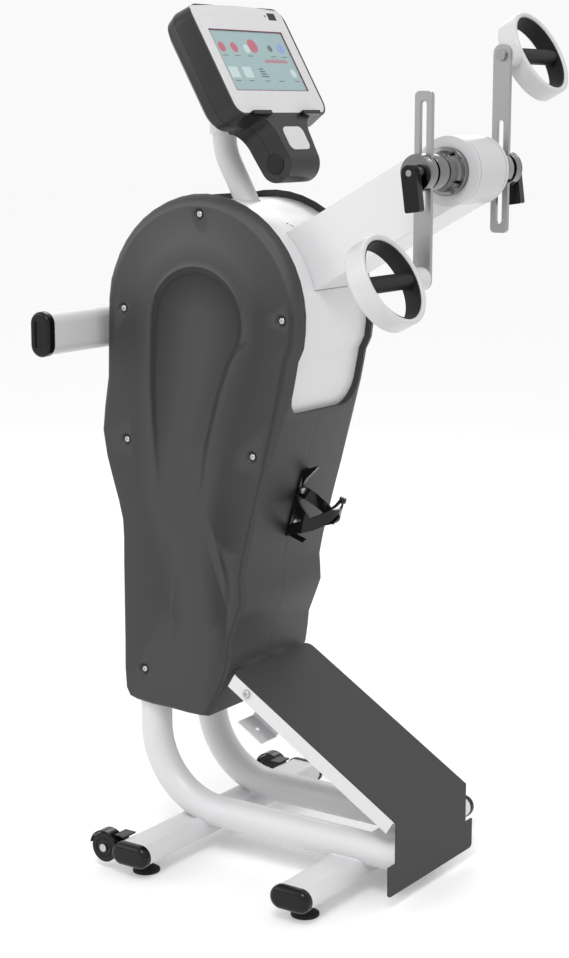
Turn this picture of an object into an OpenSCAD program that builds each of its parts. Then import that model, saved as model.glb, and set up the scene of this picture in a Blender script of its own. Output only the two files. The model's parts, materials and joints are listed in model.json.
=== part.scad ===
// Arm ergometer: a free-standing hand crank with a beam-mounted head, a tilting
// console, a step ramp and a belt drive inside two moulded covers.
// +X points to the user, +Y to the user's right and +Z up. All sizes are in mm.
// Inside each module x runs from the centre of the rear foot bar.

/* [Feet] */
// Distance between the two foot bars
foot_spacing = 358; // [330:2:390]
// Length of a foot bar without its caps
foot_bar_len = 565; // [530:5:600]
// Width of a foot bar
foot_bar_w = 80; // [74:1:86]
// Height of a foot bar
foot_bar_h = 40; // [36:1:44]
// Gap under a foot bar
foot_bar_lift = 24.5; // [22:0.5:28]
// Wall of a foot bar
foot_wall = 2.5; // [2:0.5:4]
// Length of a foot bar's end cap
foot_cap_len = 17.5; // [14:0.5:22]
// Amount by which an end cap stands proud of its tube
cap_proud = 2; // [1:0.5:3]
// Diameter of a levelling pad
pad_d = 51; // [45:1:58]
// Height of a levelling pad
pad_h = 12; // [9:0.5:14]
// Diameter of a levelling stud
stud_d = 10; // [8:1:12]
// Distance from a tube's end to its levelling stud
pad_inset = 38.5; // [32:0.5:60]

/* [Frame] */
// Diameter of the two bent frame tubes
tube_d = 60; // [54:1:62]
// Wall of the frame tubes
tube_wall = 3; // [2:0.5:4]
// Distance between the frame tubes' centres
tube_pitch = 178; // [176:1:182]
// Centre-line radius of the bend
bend_r = 150; // [130:5:165]
// Distance of the columns behind the rear foot bar
column_setback = 93.5; // [90:0.5:98]
// Depth by which the tubes are notched over the foot bars
tube_notch = 13.5; // [8:0.5:18]
// Height of the columns' top ends
column_top = 1110; // [1090:5:1120]
// Thickness of the side plates
plate_t = 6; // [4:0.5:6]

/* [Transport wheels] */
// Diameter of a transport wheel
wheel_d = 56; // [48:1:58]
// Width of a transport wheel
wheel_w = 18; // [14:1:20]
// Distance of the wheel's axis behind the rear foot bar
wheel_back = 72; // [71:0.5:78]
// Height of the wheel's axis
wheel_z = 41; // [36:0.5:46]
// Diameter of the wheel's pin
wheel_pin_d = 8; // [6:0.5:10]

/* [Covers] */
// Distance from the middle to a cover's outer face
cover_half_w = 132; // [130:0.5:135]
// Wall of the covers
cover_wall = 3; // [2.5:0.25:3]
// Radius of the covers' round crown
crown_r = 220.5; // [217:0.5:224]
// Position of the crown's centre in front of the rear foot bar
crown_x = 47; // [45:1:49]
// Height of the crown's centre
crown_z = 1031.5; // [1029:0.5:1035]
// Height of the covers' bottom edge
cover_bottom = 278; // [275:1:281]
// Radius of the covers' outer edge along the crown
rim_r_top = 23; // [20:1:24]
// Radius of the covers' outer edge near the floor
rim_r_low = 10; // [8:1:12]
// Height of the raised band on each cover
band_rise = 5; // [4:0.5:6]
// Height of the ridge inside the band
ridge_rise = 8; // [6.5:0.5:9]
// Diameter of the dimple round each cover screw
dimple_d = 24; // [22:1:26]
// Depth of the dimple
dimple_depth = 5.5; // [4.5:0.5:5.5]

/* [Front panel] */
// Depth of the panel below the covers' edge
panel_recess = 13; // [11:0.5:14]
// Thickness of the panel
panel_t = 3; // [2.5:0.5:3.5]
// Height of the panel window's lower edge
window_low = 861; // [855:1:868]
// Radius of the window's lower corners
window_corner_r = 42; // [36:1:48]
// Position of the window's rear edge
window_back = 0; // [-4:1:4]

/* [Beam and head] */
// Position of the crank axis in front of the rear foot bar
crank_x = 515.5; // [505:0.5:525]
// Height of the crank axis
crank_z = 1298; // [1290:1:1306]
// Width of the beam
beam_w = 106; // [104:1:106]
// Depth of the beam
beam_h = 116; // [112:1:117]
// Wall of the beam
beam_wall = 3; // [2:0.5:4]
// Slope of the beam in degrees
beam_slope = 28.9; // [28.4:0.1:29.4]
// Diameter of the head tube
head_d = 118; // [118:1:121]
// Wall of the head tube
head_wall = 4; // [3:0.5:5]

/* [Crank] */
// Diameter of the crank axle
axle_d = 25; // [22:1:26]
// Diameter of the clamp studs on the axle's ends
clamp_stud_d = 11.4; // [10:0.2:11.4]
// Diameter of the bearing housings' flanges
housing_d = 82; // [78:1:86]
// Diameter of the turning hubs
hub_d = 61; // [58:1:62]
// Distance from the middle to a crank bar's inner face
bar_y = 128.3; // [127:0.1:131]
// Length of a crank bar
bar_len = 326; // [320:1:332]
// Width of a crank bar
bar_w = 33; // [31:0.5:36]
// Thickness of a crank bar
bar_t = 8.3; // [7.5:0.1:9]
// Width of the slot in a crank bar
slot_w = 12; // [11.8:0.1:12.6]
// Length of the slot
slot_len = 180; // [170:1:186]
// Distance from the spindle end of a bar to its slot
slot_start = 130; // [126:1:136]
// Distance from the spindle end of a bar to its spindle
spindle_inset = 19.5; // [18:0.5:21]
// Crank radius at which the left bar is clamped
left_radius = 174.5; // [160:0.5:190]
// Crank radius at which the right bar is clamped
right_radius = 194.5; // [180:0.5:210]
// Diameter of the clamp discs
disc_d = 62; // [58:1:66]
// Thickness of the clamp discs
disc_t = 20.8; // [19:0.2:22]
// Diameter of the clamp nuts
nut_d = 22; // [20:0.5:24]
// Thickness of the clamp nuts
nut_t = 9.4; // [8:0.2:11]
// Width of a clamp lever
lever_w = 29; // [26:0.5:32]
// Reach of a clamp lever below the crank axis
lever_len = 64; // [58:1:66]
// Thickness of a clamp lever
lever_t = 16; // [12:0.5:17]
// Lean of the clamp levers in degrees
lever_lean = 8; // [0:1:15]

/* [Grips] */
// Outer diameter of a grip ring
ring_d = 160; // [156:1:164]
// Width of a grip ring
ring_w = 39; // [36:0.5:42]
// Wall of a grip ring
ring_wall = 10; // [9:0.5:11]
// Tilt of the grip rings in degrees
ring_tilt = 28; // [0:1:60]
// Wall of the soft liner inside a ring
liner_t = 3; // [2:0.5:4]
// Diameter of the cross grip
grip_d = 28; // [26:0.5:32]
// Length of a ring's spindle boss
boss_len = 31; // [29:0.5:33]
// Diameter of a grip spindle
spindle_d = 12; // [10:0.5:13]

/* [Mast and console] */
// Distance from the crank axis to the mast's foot, along the beam
mast_from_crank = 427; // [424:1:432]
// Diameter of the mast
mast_d = 44; // [40:1:48]
// Wall of the mast
mast_wall = 3; // [2:0.5:4]
// Length of the mast's sloping part
mast_straight = 184; // [180:1:188]
// Radius of the mast's bend
mast_bend_r = 100; // [90:5:110]
// Length of the mast's upright end
mast_end = 32; // [28:1:36]
// Position of the console's hinge in front of the rear foot bar
hinge_x = 157.5; // [156:0.5:160]
// Height of the console's hinge
hinge_z = 1303.8; // [1302:0.2:1306]
// Lean of the console in degrees
console_lean = 30.2; // [28:0.2:32]
// Distance from the hinge up to the middle of the screen
console_rise = 191.6; // [188:0.2:196]
// Width of the console's light frame
fascia_w = 280; // [272:1:288]
// Height of the console's light frame
fascia_h = 214; // [208:1:220]
// Thickness of the light frame
fascia_t = 2.5; // [2:0.25:3]
// Rise of the frame's arched top edge
fascia_crown = 6; // [3:0.5:8]
// Width of the screen opening
screen_w = 227; // [216:1:232]
// Height of the screen opening
screen_h = 124.5; // [118:0.5:130]
// Depth of the console behind its face
console_depth = 68; // [64:1:72]
// Distance of the console's parting seam behind its face
console_seam = 36; // [35:0.5:38]
// Widest width of the console housing, at the seam
console_w = 304; // [296:1:312]
// Wall of the console housing
console_wall = 3; // [2:0.25:3.5]
// Width of the console's neck at the hinge
neck_w = 92; // [88:1:96]
// Diameter of the hinge pin
hinge_pin_d = 12; // [10:0.5:14]
// Width of the bracket's barrel inside the neck
barrel_w = 35; // [30:1:38]

/* [Ramp] */
// Width of the ramp plate
ramp_w = 251; // [244:1:258]
// Width of the ramp's foot
ramp_foot_w = 302; // [294:1:310]
// Thickness of the ramp sheet
ramp_t = 3; // [2:0.5:4]
// Position of the ramp's upper edge
ramp_top_x = 116; // [114:1:120]
// Height of the ramp's upper edge
ramp_top_z = 377; // [374:1:382]
// Position of the ramp's front face
ramp_front_x = 473.5; // [465:0.5:480]
// Height of the ramp's bend
ramp_bend_z = 157.5; // [154:0.5:162]
// Height of the ramp's lower edge
ramp_low_z = 24.5; // [20:0.5:28]
// Height of the notch in the ramp's sides
ramp_notch_z = 81.5; // [78:0.5:86]
// Depth of the ramp support's side flanges
flange_h = 29; // [26:0.5:34]
// Thickness of the ramp support
support_t = 3; // [2.5:0.5:3.5]

/* [Bottle cage] */
// Diameter of the bottle that the cage holds
bottle_d = 74; // [72:0.5:76]
// Wall of the cage
cage_t = 4; // [3:0.5:5]
// Height of the cage's lower end
cage_low = 619; // [615:1:623]
// Length of the cage's spine
cage_len = 134; // [128:1:138]

/* [Rear handle] */
// Distance of the rear handle behind the rear foot bar
handle_back = 220; // [218:1:226]
// Height of the rear handle
handle_z = 994; // [990:1:998]
// Length of the handle tube without its caps
handle_len = 488; // [470:2:506]
// Height of the handle tube
handle_h = 80; // [74:1:84]
// Thickness of the handle tube
handle_w = 42; // [38:1:42]
// Length of the handle's end caps
handle_cap_len = 18; // [14:1:22]

/* [Drive] */
// Distance from the crank axis back to the first shaft, along the beam
jack_from_crank = 503; // [500:1:506]
// Diameter of the two inner shafts
shaft_d = 20; // [17:1:22]
// Diameter of the two equal crank belt pulleys
crank_pulley_d = 84; // [76:1:88]
// Diameter of the large drive pulley
drive_pulley_d = 260; // [252:1:262]
// Diameter of the flywheel's pulley
fly_pulley_d = 50; // [46:1:54]
// Position of the flywheel in front of the rear foot bar
fly_x = 0; // [-1:0.5:2]
// Height of the flywheel's axis
fly_z = 600; // [598:1:604]
// Diameter of the flywheel
fly_d = 240; // [224:2:242]
// Thickness of the flywheel's rim
fly_t = 20; // [16:1:22]
// Outer diameter of the inner shafts' bearings
bearing_d = 42; // [40:1:44]
// Width of the bearings
bearing_w = 12; // [10:0.5:13]
// Outer diameter of the crank bearings
crank_bearing_d = 47; // [45:1:50]

/* [Hidden] */
$fn = 64;

// Clearances
// Radial clearance of a pin that turns in its bore
run_gap = 0.05;
// Clearance of a screw or stud in a plain hole
hole_gap = 0.3;
// Clearance between curved faces on different bodies
free_gap = 0.3;
// Half of the seam between the two covers
seam_half = 0.25;

// Screws that are used in many places
screw_d = 5;
screw_head_d = 12;
screw_head_h = 4;
bolt_d = 8;
bolt_head_d = 16;
bolt_head_h = 5;

// Places that follow from the driving sizes
foot_z = foot_bar_lift + foot_bar_h / 2;
foot_end = foot_bar_len / 2;
tube_y = tube_pitch / 2;
run_z = foot_bar_lift + foot_bar_h - tube_notch + tube_d / 2;
column_x = -column_setback;
bend_x = column_x + bend_r;
bend_z = run_z + bend_r;
tube_front = ramp_front_x - ramp_t - 1;
plate_y = beam_w / 2;
post_face = cover_half_w - dimple_depth - 2.2;
beam_c = cos(beam_slope);
beam_s = sin(beam_slope);
jack_x = crank_x - jack_from_crank * beam_c;
jack_z = crank_z - jack_from_crank * beam_s;
hub_face = beam_w / 2 + 44;
axle_stud_y = bar_y + 0.1 + bar_t + disc_t + nut_t + lever_t - 1;
disc_y = bar_y + 0.1 + bar_t;
nut_y = disc_y + disc_t;
lever_y = nut_y + nut_t;
ring_y = bar_y + bar_t + boss_len + ring_d / 2;
ramp_angle = atan2(ramp_top_z - ramp_bend_z, ramp_front_x - ramp_top_x);
ramp_len = norm([ramp_front_x - ramp_top_x, ramp_top_z - ramp_bend_z]);
flange_y = ramp_w / 2;
handle_x = -handle_back;

// The part's origin lies below the middle of its bounding box
rear_most = handle_x - handle_w / 2 - cap_proud;
front_most = crank_x + head_d / 2;
origin_x = (rear_most + front_most) / 2;

// Cover screws as x and z: crown, rear upper, front upper, rear middle, front
// middle and lower
post_screws = [[50, 1216], [-128, 1037.5], [229, 1035], [-124.5, 791], [165, 786]];
tube_screw = [column_x + 4, 349];
cover_screw_at = concat(post_screws, [tube_screw]);

// Rows of [outline, raised band, recess], down the rear flank, along the bottom
// and up the front flank. The crown is three arcs.
flank = [
    [[-177.5, 905], [-107.5, 905], [-55.5, 905]],
    [[-188, 803], [-106.5, 800], [-50.5, 800]],
    [[-162.5, 708], [-99.5, 705], [-44.5, 735]],
    [[-141, 635], [-84.5, 640], [-34.5, 700]],
    [[-140, 555], [-62.5, 575], [-21.5, 678]],
    [[-140, 398], [-41.5, 515], [-8.5, 665]],
    [[-138, cover_bottom + 26], [-26.5, 475], [3.5, 658]],
    [[-110, cover_bottom + 5], [-8.5, 453], [11.5, 655]],
    [[-30, cover_bottom + 2], [15.5, 442], [19.5, 655]],
    [[43, cover_bottom], [53.5, 443], [27.5, 658]],
    [[70, cover_bottom + 15], [85.5, 456], [35.5, 664]],
    [[110, 378], [101, 483], [41.5, 672]],
    [[118, 440], [110, 515], [45.5, 682]],
    [[145, 508], [107.5, 556], [48.5, 695]],
    [[142, 558], [91.5, 600], [51.5, 708]],
    [[161.5, 640], [91.5, 650], [55.5, 725]],
    [[180, 708], [100.5, 715], [60.5, 750]],
    [[204.5, 790], [119.5, 795], [68.5, 795]],
    [[239.5, 905], [159.5, 905], [96.5, 897]],
    [[251, 962], [176.5, 960], [122.5, 960]]
];
crown_from = -12;
crown_to = 174;
crown_steps = 12;
band_centre = [43.5, crown_z + 1.5];
band_r = 145;
recess_centre = [46.5, crown_z - 13.5];
recess_r = 97;
recess_rise = 0.5;

function on_arc(c, r, a) = [c[0] + r * cos(a), c[1] + r * sin(a)];
crown = [
    for (i = [0 : crown_steps])
        let (a = crown_from + i * (crown_to - crown_from) / crown_steps)
        [
            on_arc([crown_x, crown_z], crown_r, a),
            on_arc(band_centre, band_r, a),
            on_arc(recess_centre, recess_r, a)
        ]
];
knots = concat(crown, flank);
knot_count = len(knots);

// A smooth closed curve through the knots, with two points for each knot
function knot(k, i) = knots[(i + knot_count) % knot_count][k];
function half_way(k, i) =
    (9 * (knot(k, i) + knot(k, i + 1)) - knot(k, i - 1) - knot(k, i + 2)) / 16;
function curve(k) = [
    for (i = [0 : knot_count - 1], half = [0, 1])
        half == 0 ? knot(k, i) : half_way(k, i)
];
outline = curve(0);
band = curve(1);
recess = curve(2);
outline_n = len(outline);

// Unit vector into the cover, square to its outline
function unit(v) = v / norm(v);
function inward(i) =
    let (
        a = outline[(i + outline_n - 1) % outline_n],
        b = outline[(i + 1) % outline_n],
        t = unit(b - a)
    )
    [-t[1], t[0]];
inset_dir = [for (i = [0 : outline_n - 1]) inward(i)];
function inset_outline(d) = [for (i = [0 : outline_n - 1]) outline[i] + d * inset_dir[i]];

// The rim's radius grows from the low value to the top value over this height
rim_blend = [740, 900];
function blend(a, b, t) = a + (b - a) * max(0, min(1, t));
function rim_r(i) = blend(rim_r_low, rim_r_top,
    (outline[i][1] - rim_blend[0]) / (rim_blend[1] - rim_blend[0]));
// The recess fades out downwards
recess_fade = [700, 820];
recess_low = 655;
recess_high = 1113;
function floor_y(p) = cover_half_w + band_rise
    + (recess_rise - band_rise) * (p[1] - recess_low) / (recess_high - recess_low);
function crest_rise(i) = blend(band_rise, ridge_rise,
    (recess[i][1] - recess_fade[0]) / (recess_fade[1] - recess_fade[0]));

// Rings of the right cover's surface, from the middle of its outer face over the
// rim to the seam, and back along the inside
function lift(p, y) = [p[0], y, p[1]];
function rim_point(i, a, skin) =
    let (r = rim_r(i) - skin)
    lift(outline[i] + (skin + r * (1 - sin(a))) * inset_dir[i],
        cover_half_w - skin - r * (1 - cos(a)));
slope_w = 8;
outer_rings = [
    [for (i = [0 : outline_n - 1])
        let (p = recess[i] + slope_w * unit(recess[i] - band[i]))
        lift(p, floor_y(p))],
    [for (i = [0 : outline_n - 1])
        lift(recess[i], (floor_y(recess[i]) + cover_half_w + crest_rise(i)) / 2)],
    [for (i = [0 : outline_n - 1])
        lift(recess[i] + slope_w * unit(band[i] - recess[i]), cover_half_w + crest_rise(i))],
    [for (i = [0 : outline_n - 1])
        lift(recess[i] + 2.5 * slope_w * unit(band[i] - recess[i]), cover_half_w + band_rise)],
    [for (i = [0 : outline_n - 1])
        lift(band[i] + slope_w * unit(recess[i] - band[i]), cover_half_w + band_rise)],
    [for (i = [0 : outline_n - 1])
        lift(band[i] + slope_w / 2 * unit(outline[i] - band[i]), cover_half_w)]
];
rim_rings = [
    for (a = [0, 30, 60, 90])
        [for (i = [0 : outline_n - 1]) rim_point(i, a, 0)]
];
seam_rings = [
    for (d = [0, cover_wall])
        [for (i = [0 : outline_n - 1]) lift(outline[i] + d * inset_dir[i], seam_half)]
];
inner_rings = concat(
    [
        for (a = [90, 45, 0])
            [for (i = [0 : outline_n - 1]) rim_point(i, a, cover_wall)]
    ],
    [
        for (ring = [band, recess])
            [for (i = [0 : outline_n - 1]) lift(ring[i], cover_half_w - cover_wall)]
    ]
);
cover_rings = concat(outer_rings, rim_rings, seam_rings, inner_rings);
cover_points = [for (ring = cover_rings, p = ring) p];
ring_last = len(cover_rings) - 1;
function ring_pt(k, i) = k * outline_n + i % outline_n;
cover_faces = concat(
    [[for (i = [0 : outline_n - 1]) i]],
    [
        for (k = [0 : ring_last - 1], i = [0 : outline_n - 1], half = [0, 1])
            half == 0
                ? [ring_pt(k, i), ring_pt(k + 1, i), ring_pt(k + 1, i + 1)]
                : [ring_pt(k, i), ring_pt(k + 1, i + 1), ring_pt(k, i + 1)]
    ],
    [[for (i = [outline_n - 1 : -1 : 0]) ring_pt(ring_last, i)]]
);

// Colours, as the photograph shows them
light = [0.90, 0.90, 0.91];
shell_grey = [0.28, 0.28, 0.29];
black = [0.08, 0.08, 0.08];
steel = [0.70, 0.70, 0.71];
dark_steel = [0.32, 0.32, 0.34];

// Helpers
module at_origin() {
    translate([-origin_x, 0, 0])
        children();
}
module along_y(y0, y1) {
    translate([0, y1, 0])
        rotate([90, 0, 0])
            linear_extrude(height = y1 - y0)
                children();
}
module rod_y(x, z, d, y0, y1) {
    translate([x, y0, z])
        rotate([-90, 0, 0])
            cylinder(d = d, h = y1 - y0);
}
module block(low, high) {
    translate(low)
        cube(high - low);
}
module both_sides() {
    children();
    mirror([0, 1, 0])
        children();
}
// A long-hole outline, wider than high
module oval(w, h) {
    square([w - h, h], center = true);
    for (s = [-1, 1])
        translate([s * (w - h) / 2, 0])
            circle(d = h);
}
// A flat bar with round ends between two points
link_steps = 12;
module link(p, q, w) {
    turn = atan2(q[1] - p[1], q[0] - p[0]);
    polygon(concat(
        [for (i = [0 : link_steps]) on_arc(p, w / 2, turn + 90 + 180 * i / link_steps)],
        [for (i = [0 : link_steps]) on_arc(q, w / 2, turn - 90 + 180 * i / link_steps)]
    ));
}
module rounded(w, h, r) {
    square([w - 2 * r, h], center = true);
    square([w, h - 2 * r], center = true);
    for (sx = [-1, 1], sy = [-1, 1])
        translate([sx * (w / 2 - r), sy * (h / 2 - r)])
            circle(r = r);
}
// Half profile of a domed cap: radius along x, length along y
module cap_profile(r, len, edge) {
    square([r, len - edge]);
    square([r - edge, len]);
    intersection() {
        translate([r - edge, len - edge])
            circle(r = edge);
        square([r, len]);
    }
}
// A domed oval cap that stands on the plane y = 0 and points along +y
module domed_oval(w, h, len, edge) {
    rotate([-90, 0, 0])
        union() {
            for (s = [-1, 1])
                translate([s * (w - h) / 2, 0, 0])
                    rotate_extrude()
                        cap_profile(h / 2, len, edge);
            translate([-(w - h) / 2, 0, 0])
                rotate([90, 0, 90])
                    linear_extrude(height = w - h) {
                        cap_profile(h / 2, len, edge);
                        mirror([1, 0])
                            cap_profile(h / 2, len, edge);
                    }
        }
}

// Frame
module bar_outline() {
    oval(foot_bar_w, foot_bar_h);
}
// The ramp's front legs are bolted to bosses on the tubes' inner sides
leg_y = tube_y - tube_d / 2 - 3;
front_boss = [ramp_front_x - ramp_t - 22, run_z + 14];
module frame_tube() {
    difference() {
        union() {
            translate([column_x, tube_y, bend_z])
                cylinder(d = tube_d, h = column_top - bend_z);
            translate([bend_x, tube_y, bend_z])
                rotate([90, 0, 0])
                    rotate([0, 0, 180])
                        rotate_extrude(angle = 90, $fn = 96)
                            translate([bend_r, 0])
                                circle(d = tube_d);
            translate([bend_x, tube_y, run_z])
                rotate([0, 90, 0])
                    cylinder(d = tube_d, h = tube_front - bend_x);
            rod_y(front_boss[0], front_boss[1], 22, leg_y, tube_y);
        }
        translate([column_x, tube_y, bend_z])
            cylinder(d = tube_d - 2 * tube_wall, h = column_top - bend_z + 1);
        translate([bend_x, tube_y, bend_z])
            rotate([90, 0, 0])
                rotate([0, 0, 180])
                    rotate_extrude(angle = 90, $fn = 96)
                        translate([bend_r, 0])
                            circle(d = tube_d - 2 * tube_wall);
        translate([bend_x, tube_y, run_z])
            rotate([0, 90, 0])
                cylinder(d = tube_d - 2 * tube_wall, h = tube_front - bend_x - tube_wall);
        for (x = [0, foot_spacing])
            translate([x, 0, foot_z])
                along_y(0, tube_y + tube_d)
                    bar_outline();
        rod_y(tube_screw[0], tube_screw[1], screw_d + hole_gap, tube_y, cover_half_w);
        rod_y(front_boss[0], front_boss[1], bolt_d + hole_gap, leg_y - 1, tube_y);
    }
}
module left_frame_tube() {
    color(light)
        at_origin()
            mirror([0, 1, 0])
                frame_tube();
}
module right_frame_tube() {
    color(light)
        at_origin()
            frame_tube();
}
stud_y = foot_end - pad_inset;
module foot_bars() {
    color(light)
        at_origin()
            for (x = [0, foot_spacing])
                translate([x, 0, foot_z])
                    difference() {
                        along_y(-foot_end, foot_end)
                            bar_outline();
                        along_y(-foot_end - 1, foot_end + 1)
                            oval(foot_bar_w - 2 * foot_wall, foot_bar_h - 2 * foot_wall);
                        for (s = [-1, 1])
                            translate([0, s * stud_y, -foot_bar_h])
                                cylinder(d = stud_d + 2 * hole_gap, h = foot_bar_h);
                    }
}
cap_plug = 14;
module foot_caps() {
    cap_w = foot_bar_w + 2 * cap_proud;
    cap_h = foot_bar_h + 2 * cap_proud;
    color(black)
        at_origin()
            for (x = [0, foot_spacing])
                translate([x, 0, foot_z])
                    both_sides()
                        translate([0, foot_end, 0]) {
                            domed_oval(cap_w, cap_h, foot_cap_len, foot_cap_len * 0.65);
                            along_y(-cap_plug, 0)
                                oval(foot_bar_w - 2 * foot_wall, foot_bar_h - 2 * foot_wall);
                        }
}
// A levelling foot: pad, stud and the lock nut that bears on the bar
module levelling_foot(x, side) {
    nut_h = 6;
    nut_af = stud_d + 7;
    color(black)
        at_origin()
            translate([x, side * stud_y, 0]) {
                cylinder(d = pad_d, h = pad_h / 3);
                translate([0, 0, pad_h / 3])
                    cylinder(d1 = pad_d, d2 = pad_d * 0.5, h = pad_h * 2 / 3);
                cylinder(d = stud_d, h = foot_bar_lift + foot_bar_h - foot_wall - 6);
                translate([0, 0, foot_bar_lift - nut_h])
                    cylinder(d = nut_af, h = nut_h, $fn = 6);
                translate([0, 0, foot_bar_lift - 2.5])
                    cylinder(d = nut_af * 2, h = 2.5);
            }
}
module foot_rear_left() {
    levelling_foot(0, -1);
}
module foot_rear_right() {
    levelling_foot(0, 1);
}
module foot_front_left() {
    levelling_foot(foot_spacing, -1);
}
module foot_front_right() {
    levelling_foot(foot_spacing, 1);
}
// The welded plates that carry the beam, the shafts, the brake and the ramp
ramp_bolt = [ramp_top_x + 32, ramp_top_z - 38];
ramp_bolt_depth = (ramp_top_z - ramp_bolt[1]) * cos(ramp_angle)
    - (ramp_bolt[0] - ramp_top_x) * sin(ramp_angle);
ramp_arm_w = 2 * (ramp_bolt_depth - ramp_t - support_t - 2 * free_gap);
brake_z = fly_z - fly_d / 2 - 12;
module side_plate_shape() {
    jack = [jack_x, jack_z];
    fly = [fly_x, fly_z];
    arm = [column_x, ramp_bolt[1] - 4];
    strip_low = arm[1] - ramp_arm_w / 2;
    difference() {
        union() {
            translate([column_x - tube_d * 0.36, strip_low])
                square([tube_d * 0.72, column_top - strip_low]);
            link(jack, [column_x, jack_z], 96);
            link(fly, [column_x, fly_z], 76);
            link([fly_x, brake_z], [column_x, brake_z], 46);
            link(jack, fly, 70);
            link(jack, post_screws[0], 22);
            link(jack, post_screws[2], 24);
            link(fly + [20, 60], post_screws[4], 26);
            link([column_x, post_screws[1][1]], post_screws[1], 20);
            link([column_x, post_screws[3][1]], post_screws[3], 20);
            link(arm, ramp_bolt, ramp_arm_w);
        }
        for (c = [jack, fly])
            translate(c)
                circle(d = bearing_d);
        translate(ramp_bolt)
            circle(d = bolt_d + hole_gap);
    }
}
module side_plates() {
    color(light)
        at_origin()
            both_sides() {
                along_y(plate_y, plate_y + plate_t)
                    side_plate_shape();
                for (i = [0 : len(post_screws) - 1])
                    difference() {
                        rod_y(post_screws[i][0], post_screws[i][1], i % 2 == 0 ? 14 : 10,
                            plate_y + plate_t, post_face);
                        rod_y(post_screws[i][0], post_screws[i][1], screw_d + hole_gap,
                            post_face - 18, post_face + 1);
                        // The rear posts pass close behind the columns
                        translate([column_x, tube_y, bend_z])
                            cylinder(d = tube_d + 2 * free_gap, h = column_top - bend_z + 20);
                    }
            }
}

// Transport wheels
wheel_in = foot_end - wheel_w - 2;
wheel_arm_t = 5;
module wheel_housings() {
    x = -wheel_back;
    fender_r = wheel_d / 2 + 2;
    fender_t = 3;
    fender_from = -fender_r - fender_t - 1;
    fender_to = 26;
    inner = wheel_in - 1 - wheel_arm_t;
    outer = wheel_in + wheel_w + 1;
    bar_top = foot_z + foot_bar_h / 2 + free_gap;
    tab_t = 3;
    tab_end = 42;
    color(black)
        at_origin()
            both_sides()
                difference() {
                    union() {
                        along_y(inner, wheel_in - 1)
                            difference() {
                                union() {
                                    link([x, wheel_z], [x + 24, wheel_z + 5], 26);
                                    translate([x + 12, wheel_z + 8])
                                        square([tab_end - 12, bar_top + tab_t - wheel_z - 8]);
                                }
                                translate([0, foot_z])
                                    oval(foot_bar_w + 2 * free_gap, foot_bar_h + 2 * free_gap);
                            }
                        along_y(inner, outer)
                            intersection() {
                                difference() {
                                    translate([x, wheel_z])
                                        circle(r = fender_r + fender_t);
                                    translate([x, wheel_z])
                                        circle(r = fender_r);
                                }
                                translate([x + fender_from, wheel_z + 5])
                                    square([fender_to - fender_from, 60]);
                            }
                        block([x + wheel_d * 0.32, wheel_in - 25, bar_top],
                            [x + tab_end, wheel_in + 10, bar_top + tab_t]);
                    }
                    rod_y(x, wheel_z, wheel_pin_d + 2 * run_gap, wheel_in - 20, outer);
                }
}
module wheel() {
    groove = 1.5;
    rotate([-90, 0, 0])
        rotate_extrude()
            difference() {
                translate([wheel_pin_d / 2 + run_gap, 0])
                    square([wheel_d / 2 - wheel_pin_d / 2 - run_gap, wheel_w]);
                for (y = [0, wheel_w])
                    translate([wheel_d * 0.32, y])
                        circle(r = groove);
            }
}
module left_wheel() {
    color(black)
        at_origin()
            mirror([0, 1, 0])
                translate([-wheel_back, wheel_in, wheel_z])
                    wheel();
}
module right_wheel() {
    color(black)
        at_origin()
            translate([-wheel_back, wheel_in, wheel_z])
                wheel();
}
// The wheel pins and the ramp bolts
module button_bolt(x, z, y0, y_head) {
    rod_y(x, z, bolt_d, y0, y_head);
    translate([x, y_head, z])
        rotate([-90, 0, 0])
            rotate_extrude()
                difference() {
                    cap_profile(bolt_head_d / 2, bolt_head_h, bolt_head_h * 0.7);
                    translate([0, bolt_head_h / 2])
                        square([bolt_head_d / 5, bolt_head_h]);
                }
}
module frame_bolts() {
    color(steel)
        at_origin()
            both_sides() {
                rod_y(-wheel_back, wheel_z, wheel_pin_d, wheel_in - 1 - wheel_arm_t,
                    wheel_in + wheel_w + 0.6);
                rod_y(-wheel_back, wheel_z, wheel_pin_d * 1.9, wheel_in + wheel_w + 0.6,
                    wheel_in + wheel_w + 4);
                mirror([0, 1, 0])
                    button_bolt(front_boss[0], front_boss[1],
                        -leg_y - 16, support_t - leg_y);
                button_bolt(ramp_bolt[0], ramp_bolt[1], plate_y - 8, flange_y);
            }
}

// Covers
// The opening over the panel, seen from the front below and from above on top
module window_tool(grow) {
    half = cover_half_w - rim_r_top + grow;
    far = crown_x + crown_r + 40;
    block([window_back - grow, -half, crown_z + 90], [far, half, crown_z + crown_r + 40]);
    translate([crown_x + 20, 0, 0])
        rotate([90, 0, 90])
            linear_extrude(height = crown_r)
                union() {
                    translate([-half, window_low - grow + window_corner_r])
                        square([2 * half, crown_z + 91 - window_low + grow - window_corner_r]);
                    translate([-half + window_corner_r, window_low - grow])
                        square([2 * (half - window_corner_r), window_corner_r]);
                    for (s = [-1, 1])
                        translate([s * (half - window_corner_r), window_low - grow + window_corner_r])
                            circle(r = window_corner_r);
                }
}
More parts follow.
